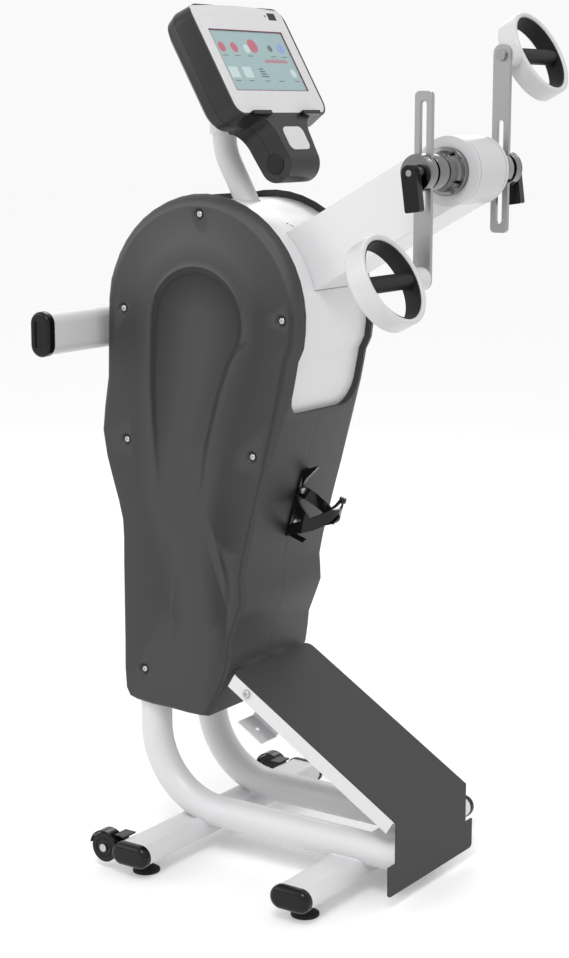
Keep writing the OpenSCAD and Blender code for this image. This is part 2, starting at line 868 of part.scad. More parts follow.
// A band that follows the outline between two depths
module outline_band(d0, d1, y0, y1) {
    along_y(y0, y1)
        difference() {
            polygon(inset_outline(d0));
            polygon(inset_outline(d1));
        }
}
stub_h = 50;
stub_w = 40;
inlet_at = [-140.8, 34, 350];
inlet_size = [26, 28, 20];
module cover_shell() {
    boss_d = dimple_d + 4;
    difference() {
        union() {
            difference() {
                union() {
                    polyhedron(points = cover_points, faces = cover_faces, convexity = 8);
                    for (p = cover_screw_at)
                        rod_y(p[0], p[1], boss_d, post_face, cover_half_w - cover_wall + 0.5);
                }
                window_tool(0);
            }
            intersection() {
                outline_band(0.4, panel_recess - free_gap, 0.3, cover_half_w);
                difference() {
                    window_tool(cover_wall);
                    window_tool(0);
                }
            }
        }
        for (p = cover_screw_at) {
            rod_y(p[0], p[1], screw_d + 2 * hole_gap, post_face - 1, cover_half_w);
            translate([p[0], cover_half_w - dimple_depth, p[1]])
                rotate([-90, 0, 0])
                    cylinder(d1 = screw_head_d + 3, d2 = dimple_d, h = dimple_depth);
            rod_y(p[0], p[1], dimple_d, cover_half_w, cover_half_w + 12);
        }
        translate([column_x, tube_y, cover_bottom - 20])
            cylinder(d = tube_d + 2 * free_gap, h = 80);
        block([60, plate_y - 1, ramp_bolt[1] - 26], [140, plate_y + plate_t + 1, ramp_bolt[1] + 18]);
        block([handle_x, -1, handle_z - stub_h / 2 - 1], [-140, stub_w / 2 + 1, handle_z + stub_h / 2 + 1]);
    }
}
module left_cover() {
    color(shell_grey)
        at_origin()
            difference() {
                union() {
                    mirror([0, 1, 0])
                        cover_shell();
                    intersection() {
                        outline_band(cover_wall, 2 * cover_wall, -22, 22);
                        block([100, -22, cage_low - 24], [260, 22, cage_low + cage_len + 40]);
                    }
                }
                translate(inlet_at - [0, 2 * inlet_at[1], 0])
                    block([-10, -inlet_size[1] / 2 - free_gap, -inlet_size[2] / 2 - free_gap],
                        [10, inlet_size[1] / 2 + free_gap, inlet_size[2] / 2 + free_gap]);
                cage_holes();
            }
}
module right_cover() {
    color(shell_grey)
        at_origin()
            difference() {
                cover_shell();
                cage_holes();
            }
}
module pan_screw(len) {
    cylinder(d = screw_d, h = len);
    translate([0, 0, len])
        rotate_extrude()
            difference() {
                cap_profile(screw_head_d / 2, screw_head_h, screw_head_h * 0.6);
                translate([0, screw_head_h * 0.5])
                    square([screw_head_d * 0.18, screw_head_h]);
            }
}
module cover_screws() {
    screw_len = 16;
    color(steel)
        at_origin() {
            both_sides()
                for (p = cover_screw_at)
                    translate([p[0], cover_half_w - dimple_depth - screw_len, p[1]])
                        rotate([-90, 0, 0])
                            pan_screw(screw_len);
            for (h = cage_screw_heights)
                in_cage()
                    translate([-14, 0, h])
                        rotate([0, 90, 0])
                            pan_screw(14 + cage_t);
        }
}
module front_panel() {
    color(light)
        at_origin()
            difference() {
                intersection() {
                    outline_band(panel_recess, panel_recess + panel_t, -cover_half_w, cover_half_w);
                    window_tool(7);
                }
                in_beam()
                    block([-mast_from_crank - 200, -beam_w / 2 - 1, -beam_h / 2 - 1],
                        [0, beam_w / 2 + 1, beam_h / 2 + 1]);
                in_beam()
                    translate([-mast_from_crank, 0, 0])
                        cylinder(d = mast_d + 2, h = 300);
            }
}

// Beam and head
module in_beam() {
    translate([crank_x, 0, crank_z])
        rotate([0, -beam_slope, 0])
            children();
}
beam_back = jack_from_crank + 122;
belt_room = 30;
module beam() {
    color(light)
        at_origin()
            difference() {
                in_beam()
                    difference() {
                        block([-beam_back, -beam_w / 2, -beam_h / 2], [0, beam_w / 2, beam_h / 2]);
                        block([-beam_back + beam_wall, -beam_w / 2 + beam_wall, -beam_h / 2 + beam_wall],
                            [1, beam_w / 2 - beam_wall, beam_h / 2 - beam_wall]);
                    }
                rod_y(crank_x, crank_z, head_d, -beam_w, beam_w);
                rod_y(jack_x, jack_z, bearing_d, -beam_w, beam_w);
            }
}
end_plate_d = head_d - 2 * head_wall;
spigot_d = 60;
housing_screw_pcd = 67;
housing_screw_d = 6;
module head_tube() {
    plate = 5;
    color(light)
        at_origin() {
            difference() {
                rod_y(crank_x, crank_z, head_d, -beam_w / 2, beam_w / 2);
                rod_y(crank_x, crank_z, end_plate_d, -beam_w, beam_w);
                in_beam()
                    block([-head_d, -belt_room / 2, -beam_h * 0.43], [0, belt_room / 2, beam_h * 0.43]);
            }
            both_sides()
                difference() {
                    rod_y(crank_x, crank_z, end_plate_d, beam_w / 2 - plate, beam_w / 2);
                    rod_y(crank_x, crank_z, spigot_d, 0, beam_w);
                    at_housing_screws()
                        cylinder(d = housing_screw_d + hole_gap, h = beam_w);
                }
        }
}
module at_housing_screws() {
    translate([crank_x, 0, crank_z])
        rotate([-90, 0, 0])
            for (a = [31 : 90 : 301])
                rotate(a)
                    translate([housing_screw_pcd / 2, 0, 0])
                        children();
}
flange_t = 11;
bearing_seat = beam_w / 2 + 13;
module bearing_housings() {
    y0 = beam_w / 2;
    color(dark_steel)
        at_origin()
            both_sides()
                difference() {
                    translate([crank_x, 0, crank_z])
                        rotate([-90, 0, 0])
                            rotate_extrude()
                                polygon([
                                    [axle_d / 2 + 1, y0 - 8], [spigot_d / 2, y0 - 8],
                                    [spigot_d / 2, y0], [housing_d / 2, y0],
                                    [housing_d / 2, y0 + flange_t - 1],
                                    [housing_d / 2 - 1, y0 + flange_t],
                                    [hub_d / 2 + 4, y0 + flange_t + 1],
                                    [hub_d / 2 + 1.5, y0 + flange_t + 9],
                                    [hub_d / 2, hub_face - 8], [hub_d / 2, hub_face - 2],
                                    [crank_bearing_d / 2, hub_face - 2],
                                    [crank_bearing_d / 2, bearing_seat],
                                    [axle_d / 2 + 1, bearing_seat]
                                ]);
                    at_housing_screws() {
                        cylinder(d = housing_screw_d + hole_gap, h = beam_w);
                        translate([0, 0, y0 + flange_t - 4])
                            cylinder(d1 = housing_screw_d, d2 = 11.4, h = 4.2);
                    }
                }
}
module housing_screws() {
    head = beam_w / 2 + flange_t - 0.3;
    color(black)
        at_origin()
            both_sides()
                at_housing_screws() {
                    translate([0, 0, head - 18])
                        cylinder(d = housing_screw_d, h = 18);
                    difference() {
                        translate([0, 0, head - 3.2])
                            cylinder(d1 = housing_screw_d, d2 = 10.4, h = 3.2);
                        translate([0, 0, head - 2])
                            cylinder(d = 4, h = 4);
                    }
                }
}
module ring_bearing(x, z, y, bore, outer) {
    difference() {
        rod_y(x, z, outer, y, y + bearing_w);
        rod_y(x, z, bore, y - 1, y + bearing_w + 1);
    }
}
module bearings() {
    color(steel)
        at_origin()
            both_sides() {
                ring_bearing(crank_x, crank_z, bearing_seat, axle_d + 2 * run_gap, crank_bearing_d);
                ring_bearing(jack_x, jack_z, plate_y - beam_wall, shaft_d + 2 * run_gap, bearing_d);
                ring_bearing(fly_x, fly_z, plate_y - beam_wall, shaft_d + 2 * run_gap, bearing_d);
            }
}

// Crank
hub_bore_len = 12;
module crank_axle() {
    color(steel)
        at_origin()
            difference() {
                union() {
                    rod_y(crank_x, crank_z, axle_d, -bar_y + hub_bore_len, bar_y - hub_bore_len);
                    rod_y(crank_x, crank_z, clamp_stud_d, -axle_stud_y, axle_stud_y);
                }
            }
}
module pulley(d, w, bore, lip) {
    rotate([-90, 0, 0])
        rotate_extrude()
            polygon([
                [bore / 2, -w / 2 - 2], [d / 2 + lip, -w / 2 - 2], [d / 2 + lip, -w / 2],
                [d / 2, -w / 2], [d / 2, w / 2], [d / 2 + lip, w / 2],
                [d / 2 + lip, w / 2 + 2], [bore / 2, w / 2 + 2]
            ]);
}
belt_w = 16;
belt_t = 4;
pulley_w = belt_w + 2;
pulley_lip = belt_t + 1.5;
module crank_pulley() {
    color(steel)
        at_origin()
            translate([crank_x, 0, crank_z])
                pulley(crank_pulley_d, pulley_w, axle_d, pulley_lip);
}
module crank_hubs() {
    color(dark_steel)
        at_origin()
            both_sides()
                translate([crank_x, 0, crank_z])
                    rotate([-90, 0, 0])
                        rotate_extrude()
                            polygon([
                                [axle_d / 2, bearing_seat + bearing_w + 0.5],
                                [axle_d / 2 + 4, bearing_seat + bearing_w + 0.5],
                                [axle_d / 2 + 4, hub_face], [hub_d / 2 - 2, hub_face],
                                [hub_d / 2, hub_face + 2], [hub_d / 2, bar_y - 2],
                                [hub_d / 2 - 1, bar_y], [clamp_stud_d / 2, bar_y],
                                [clamp_stud_d / 2, bar_y - hub_bore_len],
                                [axle_d / 2, bar_y - hub_bore_len]
                            ]);
}
module clamp_discs() {
    r = disc_d / 2;
    color(dark_steel)
        at_origin()
            both_sides()
                translate([crank_x, 0, crank_z])
                    rotate([-90, 0, 0])
                        rotate_extrude()
                            polygon([
                                [clamp_stud_d / 2, disc_y], [r - 1, disc_y], [r, disc_y + 1],
                                [r, disc_y + disc_t - 7], [r - 1, disc_y + disc_t - 6.2],
                                [r - 1, disc_y + disc_t - 5.4], [r, disc_y + disc_t - 4.6],
                                [r, disc_y + disc_t - 1.5], [r - 1.5, disc_y + disc_t],
                                [clamp_stud_d / 2, disc_y + disc_t]
                            ]);
}
module clamp_nuts() {
    color(steel)
        at_origin()
            both_sides()
                difference() {
                    rod_y(crank_x, crank_z, nut_d, nut_y, nut_y + nut_t);
                    rod_y(crank_x, crank_z, clamp_stud_d, nut_y - 1, nut_y + nut_t + 1);
                }
}
// A crank bar in the plane y = 0, with its spindle end at z = 0
module bar_shape() {
    end_r = 8;
    difference() {
        union() {
            translate([0, bar_w / 2])
                circle(d = bar_w);
            translate([-bar_w / 2, bar_w / 2])
                square([bar_w, bar_len - bar_w / 2 - end_r]);
            translate([-bar_w / 2 + end_r, bar_w / 2])
                square([bar_w - 2 * end_r, bar_len - bar_w / 2]);
            for (s = [-1, 1])
                translate([s * (bar_w / 2 - end_r), bar_len - end_r])
                    circle(r = end_r);
        }
        translate([0, slot_start + slot_len / 2])
            rotate(90)
                oval(slot_len, slot_w);
        translate([0, spindle_inset])
            circle(d = spindle_d);
    }
}
module crank_bar(radius) {
    tip = -radius - spindle_inset;
    along_y(bar_y + 0.05, bar_y + 0.05 + bar_t)
        translate([crank_x, crank_z + tip])
            bar_shape();
}
// The left bar points down and the right bar up
module left_place() {
    mirror([0, 1, 0])
        children();
}
module right_place() {
    translate([0, 0, 2 * crank_z])
        mirror([0, 0, 1])
            children();
}
module left_crank_bar() {
    color(steel)
        at_origin()
            left_place()
                crank_bar(left_radius);
}
module right_crank_bar() {
    color(steel)
        at_origin()
            right_place()
                crank_bar(right_radius);
}
spindle_len = boss_len + 7;
module spindle(radius) {
    z = crank_z - radius;
    bar_out = bar_y + 0.05 + bar_t;
    rod_y(crank_x, z, spindle_d, bar_y - 5, bar_out + spindle_len);
    translate([crank_x, bar_y - 5.95, z])
        rotate([-90, 0, 0])
            cylinder(d = spindle_d * 1.6, h = 6);
}
module left_spindle() {
    color(steel)
        at_origin()
            left_place()
                spindle(left_radius);
}
module right_spindle() {
    color(steel)
        at_origin()
            right_place()
                spindle(right_radius);
}
module lever() {
    hub = lever_w * 0.92;
    translate([crank_x, 0, crank_z])
        rotate([0, -lever_lean, 0])
            difference() {
                along_y(lever_y, lever_y + lever_t)
                    union() {
                        circle(d = hub);
                        translate([0, -lever_len / 2])
                            rounded(lever_w, lever_len, 4);
                    }
                rod_y(0, 0, clamp_stud_d + 2 * run_gap, lever_y - 1, lever_y + lever_t + 1);
            }
}
module left_lever() {
    color(black)
        at_origin()
            left_place()
                lever();
}
module right_lever() {
    color(black)
        at_origin()
            lever();
}

// Grips
module ring_body() {
    edge = ring_wall * 0.45;
    r_mid = ring_d / 2 - ring_wall / 2;
    rotate([0, -ring_tilt, 0])
        rotate([0, 90, 0])
            rotate_extrude($fn = 96)
                translate([r_mid, 0])
                    rounded(ring_wall, ring_w, edge);
}
module ring(radius) {
    boss_from = bar_y + 0.05 + bar_t + free_gap;
    wall_at = ring_y - ring_d / 2;
    bore = spindle_d + 2 * run_gap;
    translate([crank_x, 0, crank_z - radius])
        difference() {
            union() {
                translate([0, ring_y, 0])
                    ring_body();
                rod_y(0, 0, ring_w, boss_from, wall_at + 2);
            }
            rod_y(0, 0, bore, boss_from - 1, boss_from + spindle_len + 1);
        }
}
module grip(radius) {
    inner = ring_d / 2 - ring_wall;
    translate([crank_x, ring_y, crank_z - radius]) {
        rotate([0, -ring_tilt, 0])
            rotate([0, 90, 0])
                rotate_extrude($fn = 96)
                    translate([inner - liner_t / 2, 0])
                        square([liner_t, ring_w - 8], center = true);
        rod_y(0, 0, grip_d, -inner + liner_t / 2, inner - liner_t / 2);
    }
}
module left_ring() {
    color(light)
        at_origin()
            left_place()
                ring(left_radius);
}
// The right ring leans the same way as the left one although its bar points up
module right_up(radius) {
    translate([0, 0, 2 * radius])
        children();
}
module right_ring() {
    color(light)
        at_origin()
            right_up(right_radius)
                ring(right_radius);
}
module left_grip() {
    color(black)
        at_origin()
            left_place()
                grip(left_radius);
}
module right_grip() {
    color(black)
        at_origin()
            right_up(right_radius)
                grip(right_radius);
}

// Drive
module belt_ring(p, q, rp, rq, t) {
    difference() {
        belt_loop(p, q, rp + t, rq + t);
        belt_loop(p, q, rp, rq);
    }
}
// An arc whose chords stay outside the radius r
belt_steps = 30;
function arc_points(c, r, a0, a1) =
    let (s = (a1 - a0) / belt_steps)
    [for (i = [0 : belt_steps]) on_arc(c, r / cos(s / 2), a0 + i * s)];
// The area inside a belt that runs round two circles
module belt_loop(p, q, rp, rq) {
    v = q - p;
    turn = atan2(v[1], v[0]);
    a = acos((rp - rq) / norm(v));
    polygon(concat(
        arc_points(p, rp, turn + a, turn + 360 - a),
        arc_points(q, rq, turn - a, turn + a)
    ));
}
drive_y = plate_y + 21;
module crank_belt() {
    r = crank_pulley_d / 2 + free_gap;
    color(black)
        at_origin()
            along_y(-belt_w / 2, belt_w / 2)
                belt_ring([crank_x, crank_z], [jack_x, jack_z], r, r, belt_t);
}
module drive_belt() {
    color(black)
        at_origin()
            along_y(drive_y - belt_w / 2 + 2, drive_y + belt_w / 2 - 2)
                belt_ring([jack_x, jack_z], [fly_x, fly_z], drive_pulley_d / 2 + free_gap,
                    fly_pulley_d / 2 + free_gap, belt_t - 1);
}
module jackshaft() {
    color(steel)
        at_origin()
            rod_y(jack_x, jack_z, shaft_d, -plate_y - plate_t - 8, drive_y + 12);
}
module jack_pulleys() {
    hole_r = drive_pulley_d * 0.1;
    color(steel)
        at_origin()
            translate([jack_x, 0, jack_z]) {
                pulley(crank_pulley_d, pulley_w, shaft_d, pulley_lip);
                difference() {
                    rod_y(0, 0, drive_pulley_d, drive_y - 7, drive_y + 7);
                    rod_y(0, 0, shaft_d, drive_y - 8, drive_y + 8);
                    for (a = [0 : 60 : 300])
                        rod_y(drive_pulley_d * 0.3 * cos(a), drive_pulley_d * 0.3 * sin(a),
                            2 * hole_r, drive_y - 8, drive_y + 8);
                }
            }
}
module flywheel() {
    web = fly_t / 2;
    rim = 28;
    color(dark_steel)
        at_origin()
            translate([fly_x, 0, fly_z])
                rotate([-90, 0, 0])
                    rotate_extrude($fn = 96)
                        polygon([
                            [shaft_d / 2, -fly_t / 2 - 5], [shaft_d / 2 + 14, -fly_t / 2 - 5],
                            [shaft_d / 2 + 14, -web / 2], [fly_d / 2 - rim, -web / 2],
                            [fly_d / 2 - rim, -fly_t / 2], [fly_d / 2, -fly_t / 2],
                            [fly_d / 2, fly_t / 2], [fly_d / 2 - rim, fly_t / 2],
                            [fly_d / 2 - rim, web / 2], [shaft_d / 2 + 14, web / 2],
                            [shaft_d / 2 + 14, fly_t / 2 + 5], [shaft_d / 2, fly_t / 2 + 5]
                        ]);
}
module flywheel_shaft() {
    color(steel)
        at_origin() {
            rod_y(fly_x, fly_z, shaft_d, -plate_y - plate_t - 8, drive_y - 9);
            translate([fly_x, drive_y, fly_z])
                rotate([-90, 0, 0])
                    rotate_extrude()
                        polygon([
                            [0, -9], [fly_pulley_d / 2 + 4, -9], [fly_pulley_d / 2 + 4, -7],
                            [fly_pulley_d / 2, -7], [fly_pulley_d / 2, 7],
                            [fly_pulley_d / 2 + 4, 7], [fly_pulley_d / 2 + 4, 9], [0, 9]
                        ]);
        }
}
// The magnet yoke straddles the flywheel's rim between the side plates
module brake_magnet() {
    half = 28;
    top = brake_z + 34;
    color(dark_steel)
        at_origin()
            difference() {
                block([fly_x - half, -plate_y, brake_z - 22], [fly_x + half, plate_y, top]);
                block([fly_x - half - 1, -fly_t / 2 - 3, brake_z], [fly_x + half + 1, fly_t / 2 + 3, top + 1]);
            }
}
module control_board() {
    board = [110, 80];
    at = [fly_x + 10, fly_z + 130];
    stand = 7;
    face = plate_y + plate_t;
    color("darkgreen")
        at_origin()
            mirror([0, 1, 0])
                translate([at[0], 0, at[1]]) {
                    block([-board[0] / 2, face + stand, -board[1] / 2],
                        [board[0] / 2, face + stand + 2, board[1] / 2]);
                    rod_y(0, -20, 8, face, face + stand);
                    rod_y(-10, 10, 8, face, face + stand);
                    block([-30, face + stand + 2, -20], [0, face + stand + 22, 20]);
                    block([14, face + stand + 2, -30], [46, face + stand + 14, 0]);
                }
}
module mains_inlet() {
    flange = [3, inlet_size[1] + 8, inlet_size[2] + 8];
    deep = inlet_size[0];
    color(black)
        at_origin()
            translate([inlet_at[0], -inlet_at[1], inlet_at[2]])
                difference() {
                    union() {
                        block([-flange[0] - free_gap, -flange[1] / 2, -flange[2] / 2],
                            [-free_gap, flange[1] / 2, flange[2] / 2]);
                        block([-free_gap, -inlet_size[1] / 2, -inlet_size[2] / 2],
                            [deep, inlet_size[1] / 2, inlet_size[2] / 2]);
                    }
                    block([-flange[0] - 1, -12, -8], [deep - 6, 12, 8]);
                }
}

// Mast and console
module mast_section() {
    difference() {
        circle(d = mast_d);
        circle(d = mast_d - 2 * mast_wall);
    }
}
mast_foot_x = crank_x - mast_from_crank * beam_c - beam_h / 2 * beam_s;
mast_foot_z = crank_z - mast_from_crank * beam_s + beam_h / 2 * beam_c;
mast_top_x = mast_foot_x - mast_straight * beam_s - mast_bend_r * (1 - beam_c);
mast_bend_top = mast_foot_z + mast_straight * beam_c + mast_bend_r * beam_s;
module mast() {
    fitting_d = mast_d + 1;
    color(light)
        at_origin()
            union() {
                in_beam()
                    translate([mast_bend_r - mast_from_crank, 0, beam_h / 2 + mast_straight])
                        rotate([-90, 0, 0])
                            rotate([0, 0, 180]) {
                                rotate_extrude(angle = beam_slope, $fn = 96)
                                    translate([mast_bend_r, 0])
                                        mast_section();
                                translate([mast_bend_r, -mast_straight, 0])
                                    rotate([-90, 0, 0])
                                        linear_extrude(height = mast_straight)
                                            mast_section();
                            }
                difference() {
                    translate([mast_top_x, 0, mast_bend_top - 1])
                        cylinder(d = fitting_d, h = mast_end + 1);
                    translate([mast_top_x, 0, mast_bend_top - 2])
                        cylinder(d = mast_d - 2 * mast_wall - 1, h = mast_end + 2 - mast_wall);
                }
            }
}
// The console's own frame: x out of its face, z up along it, hinge at the origin
module in_console() {
    translate([hinge_x, 0, hinge_z])
        rotate([0, -console_lean, 0])
            translate([hinge_depth, 0, 0])
                children();
}
hinge_depth = console_seam - 1;
hinge_v = -console_rise;
// Arm and barrel that carry the console
arm_w = 30;
arm_h = 18;
module console_bracket() {
    collar_low = mast_bend_top + 4;
    collar_h = 20;
    arm_z = collar_low + collar_h / 2;
    elbow = [hinge_x - 57, arm_z];
    color(light)
        at_origin()
            difference() {
                union() {
                    translate([mast_top_x, 0, collar_low])
                        cylinder(d = mast_d + 11, h = collar_h);
                    along_y(-arm_w / 2, arm_w / 2) {
                        link([mast_top_x + mast_d / 2, arm_z], elbow, arm_h);
                        link(elbow, [hinge_x, hinge_z], arm_h);
                    }
                    rod_y(hinge_x, hinge_z, 30, -barrel_w / 2, barrel_w / 2);
                }
                translate([mast_top_x, 0, 0])
                    cylinder(d = mast_d + 1, h = 3 * crank_z);
                rod_y(hinge_x, hinge_z, hinge_pin_d + 2 * run_gap, -barrel_w, barrel_w);
            }
}
cap_disc_d = 37;
module hinge_pin() {
    color(black)
        at_origin() {
            rod_y(hinge_x, hinge_z, hinge_pin_d, -neck_w / 2 - 0.5, neck_w / 2 + 0.5);
            both_sides()
                rod_y(hinge_x, hinge_z, cap_disc_d, neck_w / 2 - 1, neck_w / 2 + 1.5);
        }
}
// Height of the screen's middle above the hinge is the console's own zero
module console_local() {
    in_console()
        translate([0, 0, console_rise])
            children();
}
fascia_r = 21;
module rounded_plate(w, h, r, x, t) {
    translate([x, 0, 0])
        rotate([90, 0, 90])
            linear_extrude(height = t)
                rounded(w, h, r, $fn = 32);
}
front_w = fascia_w + 10;
front_h = fascia_h + 10;
seam_h = fascia_h + 18;
back_inset = 20;
// The front housing's outer form tapers to the fascia
module front_form(skin) {
    hull() {
        rounded_plate(front_w - 2 * skin, front_h - 2 * skin, fascia_r + 8, -1, 1);
        rounded_plate(console_w - 2 * skin, seam_h - 2 * skin, fascia_r + 14, -console_seam, 1);
    }
}
module back_form(skin) {
    w = console_w - 2 * skin;
    h = seam_h - 2 * skin;
    depth = console_depth - skin;
    hull() {
        rounded_plate(w, h, fascia_r + 14, -console_seam - 1, 1);
        rounded_plate(w - 8, h - 8, fascia_r + 14, -depth + back_inset * 0.5, 1);
        rounded_plate(w - back_inset * 1.6, h - back_inset * 1.6, fascia_r + 8, -depth, 1);
    }
}
neck_top_w = 102;
fillet_r = 40;
// The neck, cut from its front view and its side view
neck_low = -front_h / 2;
neck_side = concat(
    [[neck_top_w / 2 + fillet_r, neck_low + 12], [neck_top_w / 2 + fillet_r, neck_low]],
    [
        for (a = [100 : 10 : 180])
            on_arc([neck_top_w / 2 + fillet_r, neck_low - fillet_r], fillet_r, a)
    ],
    [[neck_w / 2, hinge_v], [neck_w / 2, hinge_v - console_depth]]
);
neck_outline = concat(
    neck_side,
    [for (i = [len(neck_side) - 1 : -1 : 0]) [-neck_side[i][0], neck_side[i][1]]]
);
module neck_form(x0, x1) {
    intersection() {
        translate([x0, 0, 0])
            rotate([90, 0, 90])
                linear_extrude(height = x1 - x0)
                    polygon(neck_outline);
        along_y(-console_w, console_w)
            polygon(concat(
                [[0, neck_low + 12], [-console_depth, neck_low + 12]],
                [
                    for (a = [180 : 9 : 360])
                        on_arc([-console_depth / 2, hinge_v], console_depth / 2, a)
                ]
            ));
    }
}
module neck_room() {
    half = barrel_w / 2 + 0.5;
    block([-console_depth - 10, -half, hinge_v + 12], [-24, half, -66]);
    translate([-hinge_depth, 0, hinge_v]) {
        rod_y(0, 0, 30 + 4, -half, half);
        rod_y(0, 0, hinge_pin_d, -console_w, console_w);
        both_sides()
            rod_y(0, 0, cap_disc_d, neck_w / 2 - 1, console_w);
        block([-console_depth, -half, -6], [0, half, 20]);
    }
}
module console_back() {
    color(shell_grey)
        at_origin()
            console_local()
                difference() {
                    union() {
                        difference() {
                            back_form(0);
                            translate([0.5, 0, 0])
                                back_form(console_wall);
                        }
                        neck_form(-console_depth, -console_seam);
                    }
                    neck_room();
                    block([-console_depth + console_wall, -neck_top_w / 2 + 6, -front_h / 2 - 6],
                        [0, neck_top_w / 2 - 6, -front_h / 2 + 20]);
                }
}
module console_front() {
    color(shell_grey)
        at_origin()
            console_local()
                difference() {
                    union() {
                        difference() {
                            front_form(0);
                            translate([-6, 0, 0])
                                front_form(console_wall);
                            rounded_plate(screen_w + 10, screen_h + 10, 3, -20, 30);
                        }
                        neck_form(-console_seam, 0);
                    }
                    fascia_plate(0.3, -fascia_t, 10);
                    neck_room();
                    rounded_plate(screen_w + 10, front_h - 10, 3, -console_seam - 1, console_seam - 8);
                }
}
// The fascia's outline has an arched top edge
module fascia_plate(grow, x, t) {
    half_w = fascia_w / 2 + grow;
    arch_r = (half_w * half_w + fascia_crown * fascia_crown) / (2 * fascia_crown);
    translate([x, 0, 0])
        rotate([90, 0, 90])
            linear_extrude(height = t)
                intersection() {
                    translate([0, fascia_crown / 2])
                        rounded(2 * half_w, fascia_h + 2 * grow + fascia_crown, fascia_r);
                    translate([0, fascia_h / 2 + grow + fascia_crown - arch_r])
                        circle(r = arch_r, $fn = 360);
                }
}
module console_fascia() {
    color(light)
        at_origin()
            console_local()
                difference() {
                    fascia_plate(0, -fascia_t, fascia_t);
                    rounded_plate(screen_w, screen_h, 2, -10, 20);
                    block([-10, 93, 87], [10, 118, 102]);
                }
}
module screen() {
    glass = 6;
    color([0.35, 0.62, 0.66])
        at_origin()
            console_local() {
                rounded_plate(screen_w + 9, screen_h + 9, 2, -fascia_t - glass, glass);
                rounded_plate(screen_w - 14, screen_h - 14, 2, -fascia_t - glass - 4, 4);
            }
}
module console_trim() {
    tab = [55, 8];
    color(black)
        at_origin()
            console_local() {
                block([-fascia_t, 93.2, 87.2], [0.2, 117.8, 101.8]);
                both_sides()
                    block([0, 50, -fascia_h / 2 - 7], [9, 50 + tab[0], -fascia_h / 2 - 7 + tab[1]]);
            }
}
badge = [62, 46];
module badge_plate() {
    color(light)
        at_origin()
            console_local()
                translate([0, 0, -fascia_h / 2 - 52])
                    rounded_plate(badge[0], badge[1], 12, 0, 1.2);
}

// Ramp
module in_ramp() {
    translate([ramp_top_x, 0, ramp_top_z])
        rotate([0, ramp_angle, 0])
            children();
}
module ramp_plate() {
    corner = 15;
    foot_corner = 8;
    under = ramp_t / cos(ramp_angle);
    inner_x = ramp_front_x - ramp_t;
    inner_z = ramp_bend_z + ramp_t * tan(ramp_angle) - under;
    color(shell_grey)
        at_origin()
            difference() {
                along_y(-ramp_foot_w / 2, ramp_foot_w / 2)
                    polygon([
                        [ramp_top_x, ramp_top_z], [ramp_front_x, ramp_bend_z],
                        [ramp_front_x, ramp_low_z], [inner_x, ramp_low_z], [inner_x, inner_z],
                        [ramp_top_x - ramp_t * sin(ramp_angle), ramp_top_z - ramp_t * cos(ramp_angle)]
                    ]);
                both_sides() {
                    block([ramp_top_x - 20, flange_y, ramp_notch_z],
                        [ramp_front_x + 10, ramp_foot_w, ramp_top_z + 20]);
                    // The foot's rounded corner
                    translate([inner_x - 5, ramp_foot_w / 2, ramp_low_z])
                        rotate([90, 0, 90])
                            linear_extrude(height = 20)
                                polygon(concat(
                                    [[1, foot_corner], [1, -1], [-foot_corner, -1]],
                                    [
                                        for (a = [-80 : 20 : -20])
                                            on_arc([-foot_corner, foot_corner], foot_corner, a)
                                    ]
                                ));
                    in_ramp()
                        translate([0, flange_y, -10])
                            linear_extrude(height = 20)
                                polygon(concat(
                                    [[corner + 2, 1], [-1, 1], [-1, -corner - 2], [-0.5, -corner - 2]],
                                    [for (a = [165 : -15 : 105]) on_arc([corner, -corner], corner, a)],
                                    [[corner + 2, 0.5]]
                                ));
                }
            }
}
bracket_drop = 80;
module ramp_support() {
    edge = flange_y;
    inner = flange_y - support_t;
    leg_w = 28;
    leg_x = ramp_front_x - ramp_t;
    top = -ramp_t - 0.1;
    // Height of the sheet's middle above a point of the run
    sheet_rise = (support_t / 2 - top) / cos(ramp_angle);
    leg_top = [
        for (x = [leg_x, leg_x - leg_w])
            [x, ramp_top_z - (x - ramp_top_x) * tan(ramp_angle) - sheet_rise]
    ];
    color(light)
        at_origin()
            difference() {
                union() {
                    in_ramp() {
                        block([14, -edge, top - support_t], [ramp_len - 4, edge, top]);
                        both_sides()
                            block([6, inner, top - flange_h], [ramp_len - 6, edge, top]);
                        block([56, -70, top - bracket_drop], [118, -67, top - support_t]);
                        block([56, -126 + 8, top - bracket_drop], [118, -67, top - bracket_drop + 3]);
                    }
                    both_sides()
                        along_y(leg_y - support_t, leg_y)
                            polygon(concat([[leg_x - leg_w, foot_z], [leg_x, foot_z]], leg_top));
                }
                block([leg_x, -ramp_w, 0], [leg_x + 60, ramp_w, ramp_bend_z + 60]);
                both_sides() {
                    rod_y(ramp_bolt[0], ramp_bolt[1], bolt_d + hole_gap, inner - 1, edge + 1);
                    rod_y(front_boss[0], front_boss[1], bolt_d + hole_gap,
                        leg_y - support_t - 1, leg_y + 1);
                }
                in_ramp()
                    translate([87, -92, top - bracket_drop - 1])
                        cylinder(d = 9, h = 6);
            }
}

// Bottle cage: its own frame has the spine along z and the bottle on +x
cage_tilt = 16;
cage_foot = [156.4, cage_low];
module in_cage() {
    translate([cage_foot[0], 0, cage_foot[1]])
        rotate([0, cage_tilt, 0])
            children();
}
cage_screw_heights = [28, 92];
// The straps reach this much further forward than a circle would
cage_reach = 1.12;
module cage_holes() {
    in_cage()
        for (h = cage_screw_heights) {
            translate([-18, 0, h])
                rotate([0, 90, 0])
                    cylinder(d = screw_d + hole_gap, h = 34);
            // A flat seat for the screw's head
            translate([cage_t - 0.05, 0, h])
                rotate([0, 90, 0])
                    cylinder(d = screw_head_d + 1.5, h = 8);
        }
}
